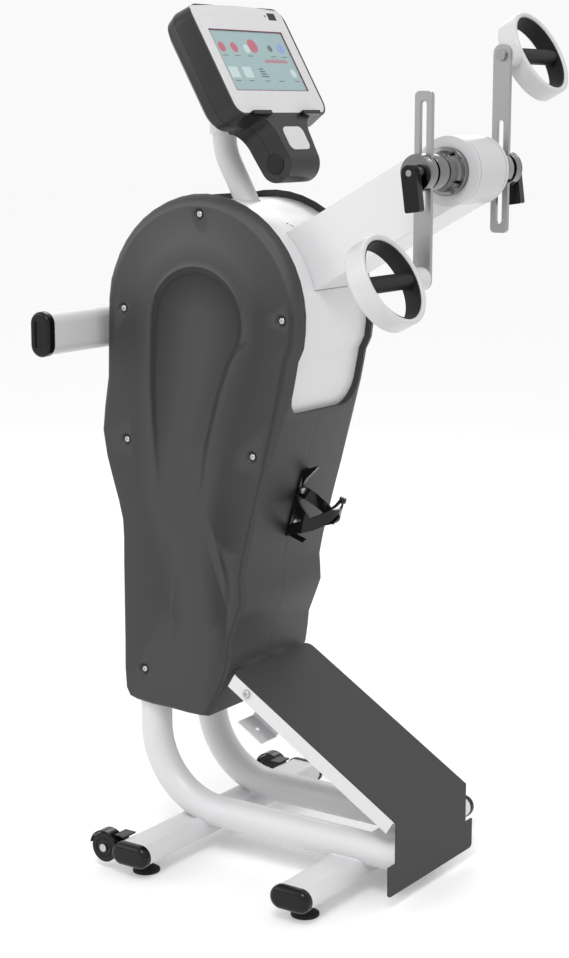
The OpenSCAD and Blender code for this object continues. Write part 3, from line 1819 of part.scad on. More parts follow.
// A strap bent round the bottle: stations of [angle, low edge, high edge]
module strap(stations, r_in, r_out) {
    n = len(stations);
    pts = [
        for (s = stations, q = [[r_in, s[1]], [r_out, s[1]], [r_out, s[2]], [r_in, s[2]]])
            [cage_reach * q[0] * cos(s[0]), q[0] * sin(s[0]), q[1]]
    ];
    faces = concat(
        [[0, 2, 1], [0, 3, 2]],
        [
            for (i = [0 : n - 2], k = [0 : 3], half = [0, 1])
                let (a = 4 * i + k, b = 4 * i + (k + 1) % 4)
                half == 0 ? [a, b + 4, a + 4] : [a, b, b + 4]
        ],
        [[4 * n - 4, 4 * n - 3, 4 * n - 2], [4 * n - 4, 4 * n - 2, 4 * n - 1]]
    );
    polyhedron(points = pts, faces = faces, convexity = 6);
}
// The lower strap climbs from the spine's foot to the front tip on both sides, and
// the upper strap falls from the spine to meet it
lower_strap = [
    for (a = [-178 : 17.8 : 178])
        let (t = abs(a) / 180, low = 4 + 78 * pow(1 - t, 1.6))
        [a, low, low + 14 + 16 * pow(1 - t, 2) + 8 * sin(180 * t)]
];
upper_strap = [
    for (a = [62 : 14.5 : 178])
        let (t = (a - 62) / 116)
        [a, 42 + 36 * t, 58 + 44 * pow(t, 0.8)]
];
module bottle_cage() {
    r_in = bottle_d / 2;
    r_out = r_in + cage_t;
    spine_w = 26;
    hook_w = 10;
    color(black)
        at_origin()
            difference() {
                in_cage()
                    union() {
                        translate([cage_reach * r_out, 0, 0]) {
                            strap(lower_strap, r_in, r_out);
                            strap(upper_strap, r_in, r_out);
                            mirror([0, 1, 0])
                                strap(upper_strap, r_in, r_out);
                        }
                        block([0, -spine_w / 2, 0], [cage_t, spine_w / 2, cage_len]);
                        rotate([90, 0, 0])
                            translate([0, 0, -hook_w / 2])
                                linear_extrude(height = hook_w) {
                                    link([3, 3], [34, 2], 6);
                                    polygon([
                                        [1, cage_len - 34], [4, cage_len - 34], [9, cage_len - 16],
                                        [23, cage_len + 8], [26, cage_len + 14], [20, cage_len + 13],
                                        [8, cage_len + 4], [1, cage_len - 1]
                                    ]);
                                }
                        translate([cage_reach * (r_out + r_in) - 1, -3, 104])
                            cube([12, 6, 10]);
                    }
                in_cage()
                    translate([r_out, 0, 0])
                        rotate([90, 0, 90])
                            linear_extrude(height = r_out + 30)
                                polygon([[-19, 90], [19, 90], [0, 104]]);
                cage_holes();
            }
}

// Rear handle
module handle_bar() {
    tube_x = handle_x + handle_w / 2;
    color(light)
        at_origin() {
            translate([handle_x, 0, handle_z])
                difference() {
                    along_y(-handle_len / 2, handle_len / 2)
                        rotate(90)
                            oval(handle_h, handle_w);
                    along_y(-handle_len / 2 - 1, handle_len / 2 + 1)
                        rotate(90)
                            oval(handle_h - 5, handle_w - 5);
                }
            difference() {
                block([tube_x - 3, -stub_w / 2, handle_z - stub_h / 2],
                    [0, stub_w / 2, handle_z + stub_h / 2]);
                block([tube_x - 4, -stub_w / 2 + 3, handle_z - stub_h / 2 + 3],
                    [1, stub_w / 2 - 3, handle_z + stub_h / 2 - 3]);
                translate([handle_x, 0, handle_z])
                    along_y(-stub_w, stub_w)
                        rotate(90)
                            oval(handle_h, handle_w);
                in_beam()
                    block([-beam_back, -beam_w, -beam_h], [0, beam_w, beam_h]);
            }
        }
}
module handle_caps() {
    color(black)
        at_origin()
            translate([handle_x, 0, handle_z])
                both_sides()
                    translate([0, handle_len / 2, 0]) {
                        difference() {
                            rotate([0, 90, 0])
                                domed_oval(handle_h + 2 * cap_proud, handle_w + 2 * cap_proud,
                                    handle_cap_len, 6);
                            along_y(handle_cap_len - 3, handle_cap_len + 1)
                                square([handle_w * 0.5, handle_h * 0.62], center = true);
                        }
                        along_y(-cap_plug, 0)
                            rotate(90)
                                oval(handle_h - 5, handle_w - 5);
                    }
}

left_frame_tube();
right_frame_tube();
foot_bars();
foot_caps();
side_plates();
foot_rear_left();
foot_rear_right();
foot_front_left();
foot_front_right();
wheel_housings();
left_wheel();
right_wheel();
frame_bolts();
left_cover();
right_cover();
cover_screws();
front_panel();
beam();
head_tube();
bearing_housings();
housing_screws();
bearings();
crank_axle();
crank_pulley();
crank_hubs();
clamp_discs();
clamp_nuts();
left_crank_bar();
right_crank_bar();
left_spindle();
right_spindle();
left_lever();
right_lever();
left_ring();
right_ring();
left_grip();
right_grip();
crank_belt();
jackshaft();
jack_pulleys();
drive_belt();
flywheel();
flywheel_shaft();
brake_magnet();
control_board();
mains_inlet();
mast();
console_bracket();
hinge_pin();
console_back();
console_front();
console_fascia();
screen();
console_trim();
badge_plate();
ramp_plate();
ramp_support();
bottle_cage();
handle_bar();
handle_caps();
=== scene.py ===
"""The looks of an arm ergometer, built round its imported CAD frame.

Every piece is in metres, in the frame's own axes: +X to the user, +Y to the
user's right, +Z up, with the origin on the floor.
"""

import json
import math

import bmesh
import bpy
from mathutils import Matrix, Vector


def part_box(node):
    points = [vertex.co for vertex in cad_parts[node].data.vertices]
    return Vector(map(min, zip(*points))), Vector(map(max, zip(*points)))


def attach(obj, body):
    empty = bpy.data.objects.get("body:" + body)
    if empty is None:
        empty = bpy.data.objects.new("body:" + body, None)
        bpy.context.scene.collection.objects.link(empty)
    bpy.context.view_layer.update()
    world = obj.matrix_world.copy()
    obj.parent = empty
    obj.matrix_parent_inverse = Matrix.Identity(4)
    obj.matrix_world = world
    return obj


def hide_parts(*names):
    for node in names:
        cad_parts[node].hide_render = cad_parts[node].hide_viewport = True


bl_info = {
    "name": "Arm Ergometer",
    "version": (1, 0, 0),
    "blender": (4, 5, 0),
    "location": "View3D > Sidebar > Ergometer",
    "description": "Dresses the CAD frame of an arm ergometer with finished pieces",
    "category": "Object",
}

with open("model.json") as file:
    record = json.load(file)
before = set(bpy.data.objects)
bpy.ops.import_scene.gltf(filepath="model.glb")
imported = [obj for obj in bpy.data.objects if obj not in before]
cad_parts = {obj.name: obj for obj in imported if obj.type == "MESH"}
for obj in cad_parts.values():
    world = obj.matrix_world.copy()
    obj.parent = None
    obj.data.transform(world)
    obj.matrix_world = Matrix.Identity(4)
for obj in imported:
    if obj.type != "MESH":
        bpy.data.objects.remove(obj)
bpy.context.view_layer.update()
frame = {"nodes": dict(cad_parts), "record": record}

MM = 0.001
# Edges that turn by more than this stay sharp, on the covers a little more
SHARP_DEG = 32.0
COVER_SHARP_DEG = 38.0
# Corners of the CAD triangles closer than this are one corner
MERGE_DISTANCE = 1e-5
# Faces within this angle of each other are one flat face
FLAT_DEG = 0.05

# Rounding of the small edges, in metres
SCREW_EDGE = 0.0004
TURNED_EDGE = 0.0005
FITTING_EDGE = 0.0006
CAGE_EDGE = 0.0008
MOULDED_EDGE = 0.0010
CAP_EDGE = 0.0012
LEVER_EDGE = 0.0025

BODY_OF = {
    node: body
    for body, nodes in frame["record"]["behaviour"]["bodies"].items()
    for node in nodes
}


def centre_of(node):
    """Middle of a CAD node's box."""
    low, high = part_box(node)
    return (low + high) / 2


# Places that the frame gives, and the middle of the rear foot bar
CRANK = centre_of("crank_pulley")
HINGE = centre_of("hinge_pin")
HEAD_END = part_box("head_tube")[1].y
FOOT_SPACING = 0.358
ORIGIN_X = centre_of("foot_bars").x - FOOT_SPACING / 2

# The beam rises to the crank, and its long edges lie outside these half sizes
BEAM_SLOPE = math.radians(28.9)
BEAM_HALF_W = 0.0525
BEAM_HALF_H = 0.0575

# The console leans back, and its face is this far above and before the hinge
CONSOLE_LEAN = math.radians(30.2)
CONSOLE_RISE = 0.1916
FACE_DEPTH = 0.035

# Where the console's parting plane lies along its turned X axis
SEAM_BEHIND_FACE = 0.036
SEAM_X = (
    HINGE.x * math.cos(CONSOLE_LEAN)
    + HINGE.z * math.sin(CONSOLE_LEAN)
    + FACE_DEPTH
    - SEAM_BEHIND_FACE
)
SEAM_HALF_W = 0.0009

# The fine groove before each end of the head tube
GROOVE_Y = HEAD_END - 0.009
GROOVE_HALF_W = 0.0007

# Centre of the arch moulded into the covers, round which light and shade are painted, and
# how far it leans going down
ARCH_CENTRE = (ORIGIN_X + 0.0465, 1.018)
ARCH_LEAN = 0.12


class Value:
    """A shader socket that takes part in Python expressions."""

    def __init__(self, finish, socket):
        self.finish = finish
        self.socket = socket

    def _math(self, operation, first, second):
        return self.finish.node(
            "ShaderNodeMath", {"operation": operation}, {0: first, 1: second}
        )

    def __add__(self, other):
        return self._math("ADD", self, other)

    __radd__ = __add__

    def __sub__(self, other):
        return self._math("SUBTRACT", self, other)

    def __rsub__(self, other):
        return self._math("SUBTRACT", other, self)

    def __mul__(self, other):
        return self._math("MULTIPLY", self, other)

    __rmul__ = __mul__

    def __truediv__(self, other):
        return self._math("DIVIDE", self, other)

    def __rtruediv__(self, other):
        return self._math("DIVIDE", other, self)

    def root(self):
        """Square root of the value."""
        return self._math("SQRT", self, 0.0)

    def size(self):
        """The value without its sign."""
        return self._math("ABSOLUTE", self, 0.0)

    def at_least(self, low):
        """The value, or low where it is smaller."""
        return self._math("MAXIMUM", self, low)

    def between(self, low, high, soft):
        """1 where the value lies between low and high, with soft edges."""
        rise = self.ramp(low - soft, low + soft)
        fall = self.ramp(high - soft, high + soft)
        return rise * (1 - fall)

    def ramp(self, start, end):
        """0 below start, 1 above end."""
        return self.finish.node(
            "ShaderNodeMapRange",
            {"clamp": True},
            {"Value": self, "From Min": start, "From Max": end},
        )


class Finish:
    """One material: its shader and the nodes that feed it."""

    def __init__(self, name, colour, roughness, metallic=0.0, coat=0.0, gloss=0.5):
        self.material = bpy.data.materials.new(name)
        self.material.use_nodes = True
        self.tree = self.material.node_tree
        self.shader = self.tree.nodes["Principled BSDF"]
        self.colour = (*colour, 1.0)
        self.put("Base Color", self.colour)
        self.put("Roughness", roughness)
        self.put("Metallic", metallic)
        self.put("Coat Weight", coat)
        self.put("Specular IOR Level", gloss)

    def node(self, kind, settings=None, values=None, out=0):
        """Adds a node, sets it up, feeds its inputs and returns one output."""
        made = self.tree.nodes.new(kind)
        for key, value in (settings or {}).items():
            setattr(made, key, value)
        for key, value in (values or {}).items():
            if isinstance(value, Value):
                self.tree.links.new(value.socket, made.inputs[key])
            else:
                made.inputs[key].default_value = value
        return Value(self, made.outputs[out])

    def put(self, name, value):
        """Gives the shader's socket a number, a colour or a link."""
        if isinstance(value, Value):
            self.tree.links.new(value.socket, self.shader.inputs[name])
        else:
            self.shader.inputs[name].default_value = value

    def place(self, stretch=(1.0, 1.0, 1.0), shift=(0.0, 0.0, 0.0), turn=(0.0, 0.0, 0.0)):
        """The piece's own coordinates, moved, turned and stretched."""
        base = self.node("ShaderNodeTexCoord", out=3)
        return self.node(
            "ShaderNodeMapping",
            {"vector_type": "POINT"},
            {"Vector": base, "Scale": stretch, "Location": shift, "Rotation": turn},
        )

    def noise(self, scale, detail=3.0, rough=0.55, where=None):
        """Noise from 0 to 1, finer as the scale grows."""
        where = where or self.place()
        return self.node(
            "ShaderNodeTexNoise",
            {},
            {"Vector": where, "Scale": scale, "Detail": detail, "Roughness": rough},
        )

    def axis(self, name, where=None):
        """One coordinate of the piece as a value."""
        where = where or self.place()
        return self.node("ShaderNodeSeparateXYZ", {}, {"Vector": where}, name)

    def mix(self, factor, first, second):
        """A colour between two colours."""
        made = self.tree.nodes.new("ShaderNodeMix")
        made.data_type = "RGBA"
        for index, value in ((0, factor), (6, first), (7, second)):
            if isinstance(value, Value):
                self.tree.links.new(value.socket, made.inputs[index])
            else:
                made.inputs[index].default_value = value
        return Value(self, made.outputs[2])

    def bump(self, height, strength, distance):
        """Raises the surface by a height value."""
        made = self.node(
            "ShaderNodeBump",
            {},
            {"Height": height, "Strength": strength, "Distance": distance},
        )
        self.put("Normal", made)

    def shade(self, factor):
        """The finish's own colour, made lighter or darker by a factor."""
        return tuple(min(1.0, c * factor) for c in self.colour[:3]) + (1.0,)

    def mottle(self, scale, detail, dark, light):
        """The finish's own colour, wandering between two shades of it."""
        return self.mix(self.noise(scale, detail), self.shade(dark), self.shade(light))


# Lines in a metre of turned or brushed metal
LATHE_LINES = 2200.0
BAR_LINES = (2500.0, 900.0, 14.0)
SCREW_LINES = (300.0, 300.0, 300.0)


# Finishes
def peeled(name, colour, roughness):
    """Baked paint without its colour: the gloss and bumps of its orange peel."""
    f = Finish(name, colour, roughness, coat=0.15)
    peel = f.noise(900.0, 2.0)
    f.put("Roughness", roughness - 0.05 + 0.10 * peel)
    f.bump(peel, 0.10, 0.0004)
    return f


def powder_coat(name, colour, roughness=0.42):
    """Baked powder paint with a fine orange peel."""
    f = peeled(name, colour, roughness)
    f.put("Base Color", f.mottle(7.0, 2.0, 0.97, 1.02))
    return f


def grooved_coat(name, colour, roughness=0.42):
    """Powder coat with a fine groove round the Y axis at both ends of the head."""
    f = peeled(name, colour, roughness)
    line = f.axis("Y").size().between(
        GROOVE_Y - GROOVE_HALF_W, GROOVE_Y + GROOVE_HALF_W, GROOVE_HALF_W / 3
    )
    f.put("Base Color", f.mix(line, f.mottle(7.0, 2.0, 0.97, 1.02), f.shade(0.35)))
    return f


def grained(name, colour, roughness, grain, depth):
    """Plastic without its colour: the gloss and bumps of a spark-eroded grain."""
    f = Finish(name, colour, roughness, gloss=0.35)
    cells = f.node(
        "ShaderNodeTexVoronoi",
        {"feature": "SMOOTH_F1"},
        {"Vector": f.place(), "Scale": grain, "Smoothness": 0.6},
    )
    fine = f.noise(grain * 1.7, 2.0)
    f.put("Roughness", roughness - 0.06 + 0.12 * fine)
    f.bump(cells * 0.7 + fine * 0.3, depth, 0.0004)
    return f


def grained_plastic(name, colour, roughness, grain=1400.0, depth=0.25):
    """Moulded plastic with a spark-eroded grain."""
    f = grained(name, colour, roughness, grain, depth)
    f.put("Base Color", f.mottle(5.0, 3.0, 0.94, 1.06))
    return f


def arch_shaded_plastic(name, colour, roughness, grain=1400.0, depth=0.25):
    """Grained plastic with light and shade painted round its moulded arch: painted shade on
    the slopes into the arch's recess, a painted highlight on outward slopes that face up,
    and painted shade on outward slopes that face aside.
    """
    f = grained(name, colour, roughness, grain, depth)
    where = f.place(shift=(-ARCH_CENTRE[0], 0.0, -ARCH_CENTRE[1]))
    height = f.axis("Z", where)
    # From the arch's centre line, straight up above it and leaning below it
    above = height.at_least(0.0)
    across = f.axis("X", where) + (above - height) * ARCH_LEAN
    reach = (across * across + above * above).root()
    # How far the surface faces away from that line
    facing_way = f.node("ShaderNodeTexCoord", out=1)
    face_up = f.axis("Z", facing_way)
    facing = (f.axis("X", facing_way) * across + face_up * above) / (reach + 0.001)
    plain = f.mottle(5.0, 3.0, 0.95, 1.05)
    # Painted shade on the slopes that face into the arch's recess
    painted_hollow_shade = f.mix(facing.ramp(-0.05, -0.25), plain, f.shade(0.2))
    # Painted highlight on outward slopes that face up, painted shade on outward slopes that
    # face aside or down
    painted_slope_light = f.mix(face_up.ramp(0.02, 0.18), f.shade(0.5), f.shade(1.7))
    # The arch's painted light and shade together
    moulded = f.mix(facing.ramp(0.06, 0.26), painted_hollow_shade, painted_slope_light)
    # The painted light and shade go only on faces that look out to the side
    on_side = f.axis("Y", facing_way).size().ramp(0.80, 0.94)
    f.put("Base Color", f.mix(on_side, plain, moulded))
    return f


def seamed_plastic(name, colour, roughness, grain=1800.0, depth=0.12):
    """Grained plastic with the console's dark parting line."""
    f = grained(name, colour, roughness, grain, depth)
    line = f.axis("X", f.place(turn=(0.0, CONSOLE_LEAN, 0.0))).between(
        SEAM_X - SEAM_HALF_W, SEAM_X + SEAM_HALF_W, SEAM_HALF_W / 3
    )
    f.put("Base Color", f.mix(line, f.mottle(5.0, 3.0, 0.94, 1.06), f.shade(0.1)))
    return f


def smooth_plastic(name, colour, roughness, gloss=0.5):
    """Plain moulded plastic with a faint unevenness."""
    f = Finish(name, colour, roughness, gloss=gloss)
    wave = f.noise(60.0, 2.0)
    f.put("Base Color", f.mix(wave, f.shade(0.95), f.shade(1.05)))
    f.put("Roughness", roughness - 0.05 + 0.10 * wave)
    f.bump(f.noise(1200.0, 2.0), 0.08, 0.0003)
    return f


def soft_rubber(name, colour, roughness=0.72):
    """Matte rubber with a fine pebble."""
    f = Finish(name, colour, roughness, gloss=0.3)
    pebble = f.noise(700.0, 4.0, 0.6)
    f.put("Base Color", f.mix(pebble, f.shade(0.8), f.shade(1.4)))
    f.put("Roughness", roughness - 0.08 + 0.16 * pebble)
    f.bump(pebble, 0.35, 0.0006)
    return f


def brushed_metal(name, colour, stretch, roughness=0.30):
    """Metal with fine lines along the axis whose stretch is smallest."""
    f = Finish(name, colour, roughness, metallic=1.0)
    lines = f.noise(1.0, 4.0, 0.7, f.place(stretch=stretch))
    cloud = f.noise(9.0, 3.0)
    f.put("Base Color", f.mix(lines, f.shade(0.86), f.shade(1.10)))
    f.put("Roughness", roughness - 0.06 + 0.14 * lines + 0.05 * cloud)
    f.bump(lines, 0.12, 0.0003)
    return f


def turned_metal(name, colour, roughness, centre=(0.0, 0.0, 0.0)):
    """Metal with the fine rings that a lathe leaves round the Y axis."""
    f = Finish(name, colour, roughness, metallic=1.0)
    where = f.place(shift=(-centre[0], 0.0, -centre[2]))
    x, y, z = (f.axis(letter, where) for letter in "XYZ")
    radius = (x * x + z * z).root()
    fine = f.node(
        "ShaderNodeCombineXYZ", {}, {"X": radius * LATHE_LINES, "Y": y * LATHE_LINES}
    )
    rings = f.noise(1.0, 3.0, 0.6, fine)
    cloud = f.noise(30.0, 2.0)
    f.put("Base Color", f.mix(rings, f.shade(0.85), f.shade(1.12)))
    f.put("Roughness", roughness - 0.04 + 0.10 * rings + 0.05 * cloud)
    f.bump(rings, 0.06, 0.0002)
    return f


# Mesh helpers
def mark_sharp(bm, sharp_deg=SHARP_DEG):
    """Shades all faces smooth and marks the edges that turn by more as sharp."""
    limit = math.radians(sharp_deg)
    for face in bm.faces:
        face.smooth = True
    for edge in bm.edges:
        if len(edge.link_faces) == 2:
            edge.smooth = edge.calc_face_angle(0.0) < limit


def new_object(name, bm, look, sharp_deg=SHARP_DEG):
    """Makes an object of a bmesh, which is used up."""
    mark_sharp(bm, sharp_deg)
    mesh = bpy.data.meshes.new(name)
    bm.to_mesh(mesh)
    bm.free()
    mesh.materials.append(look.material)
    obj = bpy.data.objects.new(name, mesh)
    bpy.context.scene.collection.objects.link(obj)
    return obj


def soften(obj, width, segments=2):
    """Rounds an object's edges a little, so that they catch the light."""
    mod = obj.modifiers.new("Edge", "BEVEL")
    mod.width = width
    mod.segments = segments
    mod.limit_method = "ANGLE"
    mod.angle_limit = math.radians(SHARP_DEG)
    mod.harden_normals = True
    mod.miter_outer = "MITER_ARC"


def merged_copy(node, flatten):
    """A bmesh of a CAD node with its loose triangles joined, and flat faces too."""
    bm = bmesh.new()
    bm.from_mesh(frame["nodes"][node].data)
    bmesh.ops.remove_doubles(bm, verts=bm.verts, dist=MERGE_DISTANCE)
    if flatten:
        bmesh.ops.dissolve_limit(
            bm,
            angle_limit=math.radians(FLAT_DEG),
            use_dissolve_boundaries=False,
            verts=bm.verts,
            edges=bm.edges,
            delimit={"NORMAL"},
        )
    return bm


def dress(node, look, edge=0.0, sharp_deg=SHARP_DEG, segments=2):
    """Stands a smooth copy in for a CAD node, with its edges rounded if asked."""
    obj = new_object(node + "_skin", merged_copy(node, edge > 0), look, sharp_deg)
    if edge:
        soften(obj, edge, segments)
    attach(obj, BODY_OF[node])
    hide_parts(node)
    return obj


def paint(node, look):
    """Gives a CAD node that keeps its own mesh a finish."""
    obj = frame["nodes"][node]
    obj.data.materials.clear()
    obj.data.materials.append(look.material)


def add_piece(name, bm, look, node):
    """A new piece that rides with a CAD node."""
    obj = new_object(name, bm, look)
    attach(obj, BODY_OF[node])


def turned(profile, steps):
    """Spins (radius, height) points round Z into a closed shape."""
    bm = bmesh.new()
    verts = [bm.verts.new((r, 0.0, h)) for r, h in profile]
    edges = [bm.edges.new(pair) for pair in zip(verts, verts[1:])]
    bmesh.ops.spin(
        bm,
        geom=verts + edges,
        cent=(0.0, 0.0, 0.0),
        axis=(0.0, 0.0, 1.0),
        angle=2 * math.pi,
        steps=steps,
        use_merge=True,
    )
    bmesh.ops.remove_doubles(bm, verts=bm.verts, dist=MERGE_DISTANCE)
    bmesh.ops.recalc_face_normals(bm, faces=bm.faces)
    return bm


def move(bm, matrix):
    """Moves a whole bmesh and returns it."""
    bmesh.ops.transform(bm, matrix=matrix, verts=bm.verts)
    return bm


def plates(areas, back, front):
    """Thin plates on the console's face, each (left, bottom, right, top) in mm.

    Back and front are where they begin and end before the face, in mm.
    """
    bm = bmesh.new()
    for left, bottom, right, top in areas:
        size = Vector((front - back, right - left, top - bottom)) * MM
        middle = Vector((front + back, right + left, top + bottom)) * MM / 2
        bmesh.ops.create_cube(
            bm, size=1.0, matrix=Matrix.Translation(middle) @ Matrix.Diagonal((*size, 1.0))
        )
    return bm


def discs(centres, radius, back, front):
    """Thin discs on the console's face, with centres (right, up), all in mm."""
    bm = bmesh.new()
    for right, up in centres:
        middle = Vector(((front + back) / 2, right, up)) * MM
        bmesh.ops.create_cone(
            bm,
            cap_ends=True,
            segments=DISC_SIDES,
            radius1=radius * MM,
            radius2=radius * MM,
            depth=(front - back) * MM,
            matrix=Matrix.Translation(middle) @ Matrix.Rotation(math.pi / 2, 4, "Y"),
        )
    return bm


def bead(name, loops, thick, look, node):
    """A weld bead along closed loops of points, riding with a CAD node."""
    curve = bpy.data.curves.new(name, "CURVE")
    curve.dimensions = "3D"
    curve.bevel_depth = thick
    curve.bevel_resolution = 2
    curve.use_fill_caps = True
    for points in loops:
        spline = curve.splines.new("POLY")
        spline.points.add(len(points) - 1)
        for point, place in zip(spline.points, points):
            point.co = (*place, 1.0)
        spline.use_cyclic_u = True
    curve.materials.append(look.material)
    obj = bpy.data.objects.new(name, curve)
    bpy.context.scene.collection.objects.link(obj)
    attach(obj, BODY_OF[node])


def console_place():
    """The console's own axes: x out of its face, z up it, screen in the middle."""
    return (
        Matrix.Translation(HINGE)
        @ Matrix.Rotation(-CONSOLE_LEAN, 4, "Y")
        @ Matrix.Translation((FACE_DEPTH, 0.0, CONSOLE_RISE))
    )


def beam_place():
    """The beam's own axes: x along it, z square to its top, from the crank."""
    return Matrix.Translation(CRANK) @ Matrix.Rotation(-BEAM_SLOPE, 4, "Y")


# Settings
class ERGO_PG_sizes(bpy.types.PropertyGroup):
    """Roundings and weld beads, which only the scene holds."""

    edge: bpy.props.FloatProperty(
        name="Edge",
        description="Rounding of the sheet and tube edges",
        default=0.0008,
        unit="LENGTH",
    )
    beam_corner: bpy.props.FloatProperty(
        name="Beam corner",
        description="Radius of the beam's long edges",
        default=0.006,
        unit="LENGTH",
    )
    weld: bpy.props.FloatProperty(
        name="Weld",
        description="Size of the weld beads",
        default=0.0034,
        unit="LENGTH",
    )


class ERGO_PG_finishes(bpy.types.PropertyGroup):
    """Colours of the main finishes."""

    light: bpy.props.FloatVectorProperty(
        name="Light paint",
        description="Colour of the frame, the beam and the panel",
        default=(0.63, 0.63, 0.64),
        subtype="COLOR",
    )
    head: bpy.props.FloatVectorProperty(
        name="Head",
        description="Colour of the head tube that holds the crank",
        default=(0.50, 0.50, 0.51),
        subtype="COLOR",
    )
    shell: bpy.props.FloatVectorProperty(
        name="Covers",
        description="Colour of the covers and the ramp",
        default=(0.036, 0.036, 0.037),
        subtype="COLOR",
    )
    console: bpy.props.FloatVectorProperty(
        name="Console",
        description="Colour of the console's housing",
        default=(0.015, 0.015, 0.016),
        subtype="COLOR",
    )
    fascia: bpy.props.FloatVectorProperty(
        name="Fascia",
        description="Colour of the fascia and the badge plate",
        default=(0.56, 0.56, 0.57),
        subtype="COLOR",
    )
    ring: bpy.props.FloatVectorProperty(
        name="Grip rings",
        description="Colour of the light grip rings",
        default=(0.53, 0.53, 0.54),
        subtype="COLOR",
    )
    black: bpy.props.FloatVectorProperty(
        name="Black plastic",
        description="Colour of the caps, levers and wheels",
        default=(0.004, 0.004, 0.0045),
        subtype="COLOR",
    )
    steel: bpy.props.FloatVectorProperty(
        name="Steel",
        description="Colour of the crank bars",
        default=(0.36, 0.36, 0.365),
        subtype="COLOR",
    )
    hub: bpy.props.FloatVectorProperty(
        name="Hub",
        description="Colour of the turned hubs and bearing housings",
        default=(0.21, 0.21, 0.215),
        subtype="COLOR",
    )


# How a finish is made: its maker, the name of its material, its colour or the
# setting that holds it, and what else the maker takes
RECIPES = {
    "light_paint": (powder_coat, "Light powder coat", "light"),
    "panel_paint": (powder_coat, "Panel paint", "light", 0.36),
    "head": (grooved_coat, "Head paint", "head"),
    # The covers' finish has light and shade painted round their arch
    "shell": (arch_shaded_plastic, "Cover plastic", "shell", 0.48),
    "ramp": (grained_plastic, "Ramp coat", "shell", 0.66, 1100.0, 0.30),
    "console": (seamed_plastic, "Console plastic", "console", 0.30),
    "black": (smooth_plastic, "Black plastic", "black", 0.16, 0.28),
    "fascia": (smooth_plastic, "Light fascia", "fascia", 0.42),
    "ring": (smooth_plastic, "Light ring plastic", "ring", 0.34),
    "rubber": (soft_rubber, "Black rubber", (0.008, 0.008, 0.008)),
    "grip": (soft_rubber, "Grip rubber", (0.007, 0.007, 0.007), 0.6),
    "bar_steel": (brushed_metal, "Brushed bar steel", "steel", BAR_LINES),
    "bolt": (brushed_metal, "Plated screws", (0.50, 0.50, 0.51), SCREW_LINES, 0.28),
    "hub_steel": (turned_metal, "Turned hub steel", "hub", 0.14, CRANK),
    "bright": (turned_metal, "Bright turned steel", (0.34, 0.34, 0.345), 0.2, CRANK),
    "iron": (turned_metal, "Turned iron", (0.20, 0.20, 0.21), 0.4),
    "pulley": (turned_metal, "Machined pulley", (0.55, 0.55, 0.56), 0.3),
    "board": (smooth_plastic, "Circuit board", (0.02, 0.12, 0.05), 0.4),
    "display": (smooth_plastic, "Display", (0.27, 0.38, 0.39), 0.12),
    "display_pale": (smooth_plastic, "Display pale", (0.46, 0.55, 0.56), 0.12),
    "display_rose": (smooth_plastic, "Display rose", (0.42, 0.10, 0.14), 0.12),
    "display_blue": (smooth_plastic, "Display blue", (0.20, 0.30, 0.55), 0.12),
    "display_dark": (smooth_plastic, "Display dark", (0.10, 0.13, 0.14), 0.12),
    "outline": (smooth_plastic, "Dark red outline", (0.15, 0.02, 0.035), 0.3),
}
FINISHES = {}


def finish(name):
    """A finish by name, made when it is first asked for."""
    if name not in FINISHES:
        maker, title, colour, *more = RECIPES[name]
        if isinstance(colour, str):
            colour = tuple(getattr(bpy.context.scene.ergo_finishes, colour))
        FINISHES[name] = maker(title, colour, *more)
    return FINISHES[name]


# Small plug and hole in the panel beside the beam: where each is, measured from the
# rear foot bar, its radius and its finish
PANEL_NORMAL = Vector((0.59, 0.0, 0.81))
PANEL_MARKS = (
    ("panel_plug", (0.1745, -0.0165, 1.1950), 0.0050, "bolt"),
    ("panel_hole", (0.1700, -0.0260, 1.1985), 0.0014, "black"),
)
MARK_RISE = 0.0006
MARK_ROOT = -0.0005
MARK_CROWN = 0.7
MARK_STEPS = 32


def panel_mark(place, radius):
    """A small crowned button that stands square to the panel."""
    bm = turned(
        (
            (0.0, MARK_RISE),
            (radius * MARK_CROWN, MARK_RISE),
            (radius, 0.0),
            (radius, MARK_ROOT),
            (0.0, MARK_ROOT),
        ),
        MARK_STEPS,
    )
    spot = Vector(place) + Vector((ORIGIN_X, 0.0, 0.0))
    turn = PANEL_NORMAL.to_track_quat("Z", "Y").to_matrix().to_4x4()
    return move(bm, Matrix.Translation(spot) @ turn)


class ERGO_OT_covers(bpy.types.Operator):
    """Moulded covers, their screws and the panel between them"""

    bl_idname = "ergo.covers"
    bl_label = "Covers"

    def execute(self, context):
        for node in ("left_cover", "right_cover"):
            dress(node, finish("shell"), sharp_deg=COVER_SHARP_DEG)
        dress("front_panel", finish("panel_paint"))
        dress("cover_screws", finish("bolt"), SCREW_EDGE)
        for name, place, radius, look in PANEL_MARKS:
            add_piece(name, panel_mark(place, radius), finish(look), "front_panel")
        return {"FINISHED"}


# Where the frame tubes run: out at the height RUN_Z, then up round a bend
TUBE_RADIUS = 0.030
TUBE_BEND = 0.150
TUBE_Y = 0.089
RUN_Z = 0.081
BEND_X = ORIGIN_X + 0.0565
# The foot bars' oval section, its height and the places of the two bars
BAR_HALF = 0.040
BAR_RADIUS = 0.020
BAR_Z = 0.0445
FOOT_BARS_X = (ORIGIN_X, ORIGIN_X + FOOT_SPACING)
WELD_STEPS = 72


def tube_half_width(x, z):
    """Half the width of a frame tube at a point of its side view, or None."""
    if x >= BEND_X:
        off = z - RUN_Z
    else:
        off = TUBE_BEND - math.hypot(x - BEND_X, z - RUN_Z - TUBE_BEND)
    rest = TUBE_RADIUS**2 - off**2
    return math.sqrt(rest) if rest > 0 else None


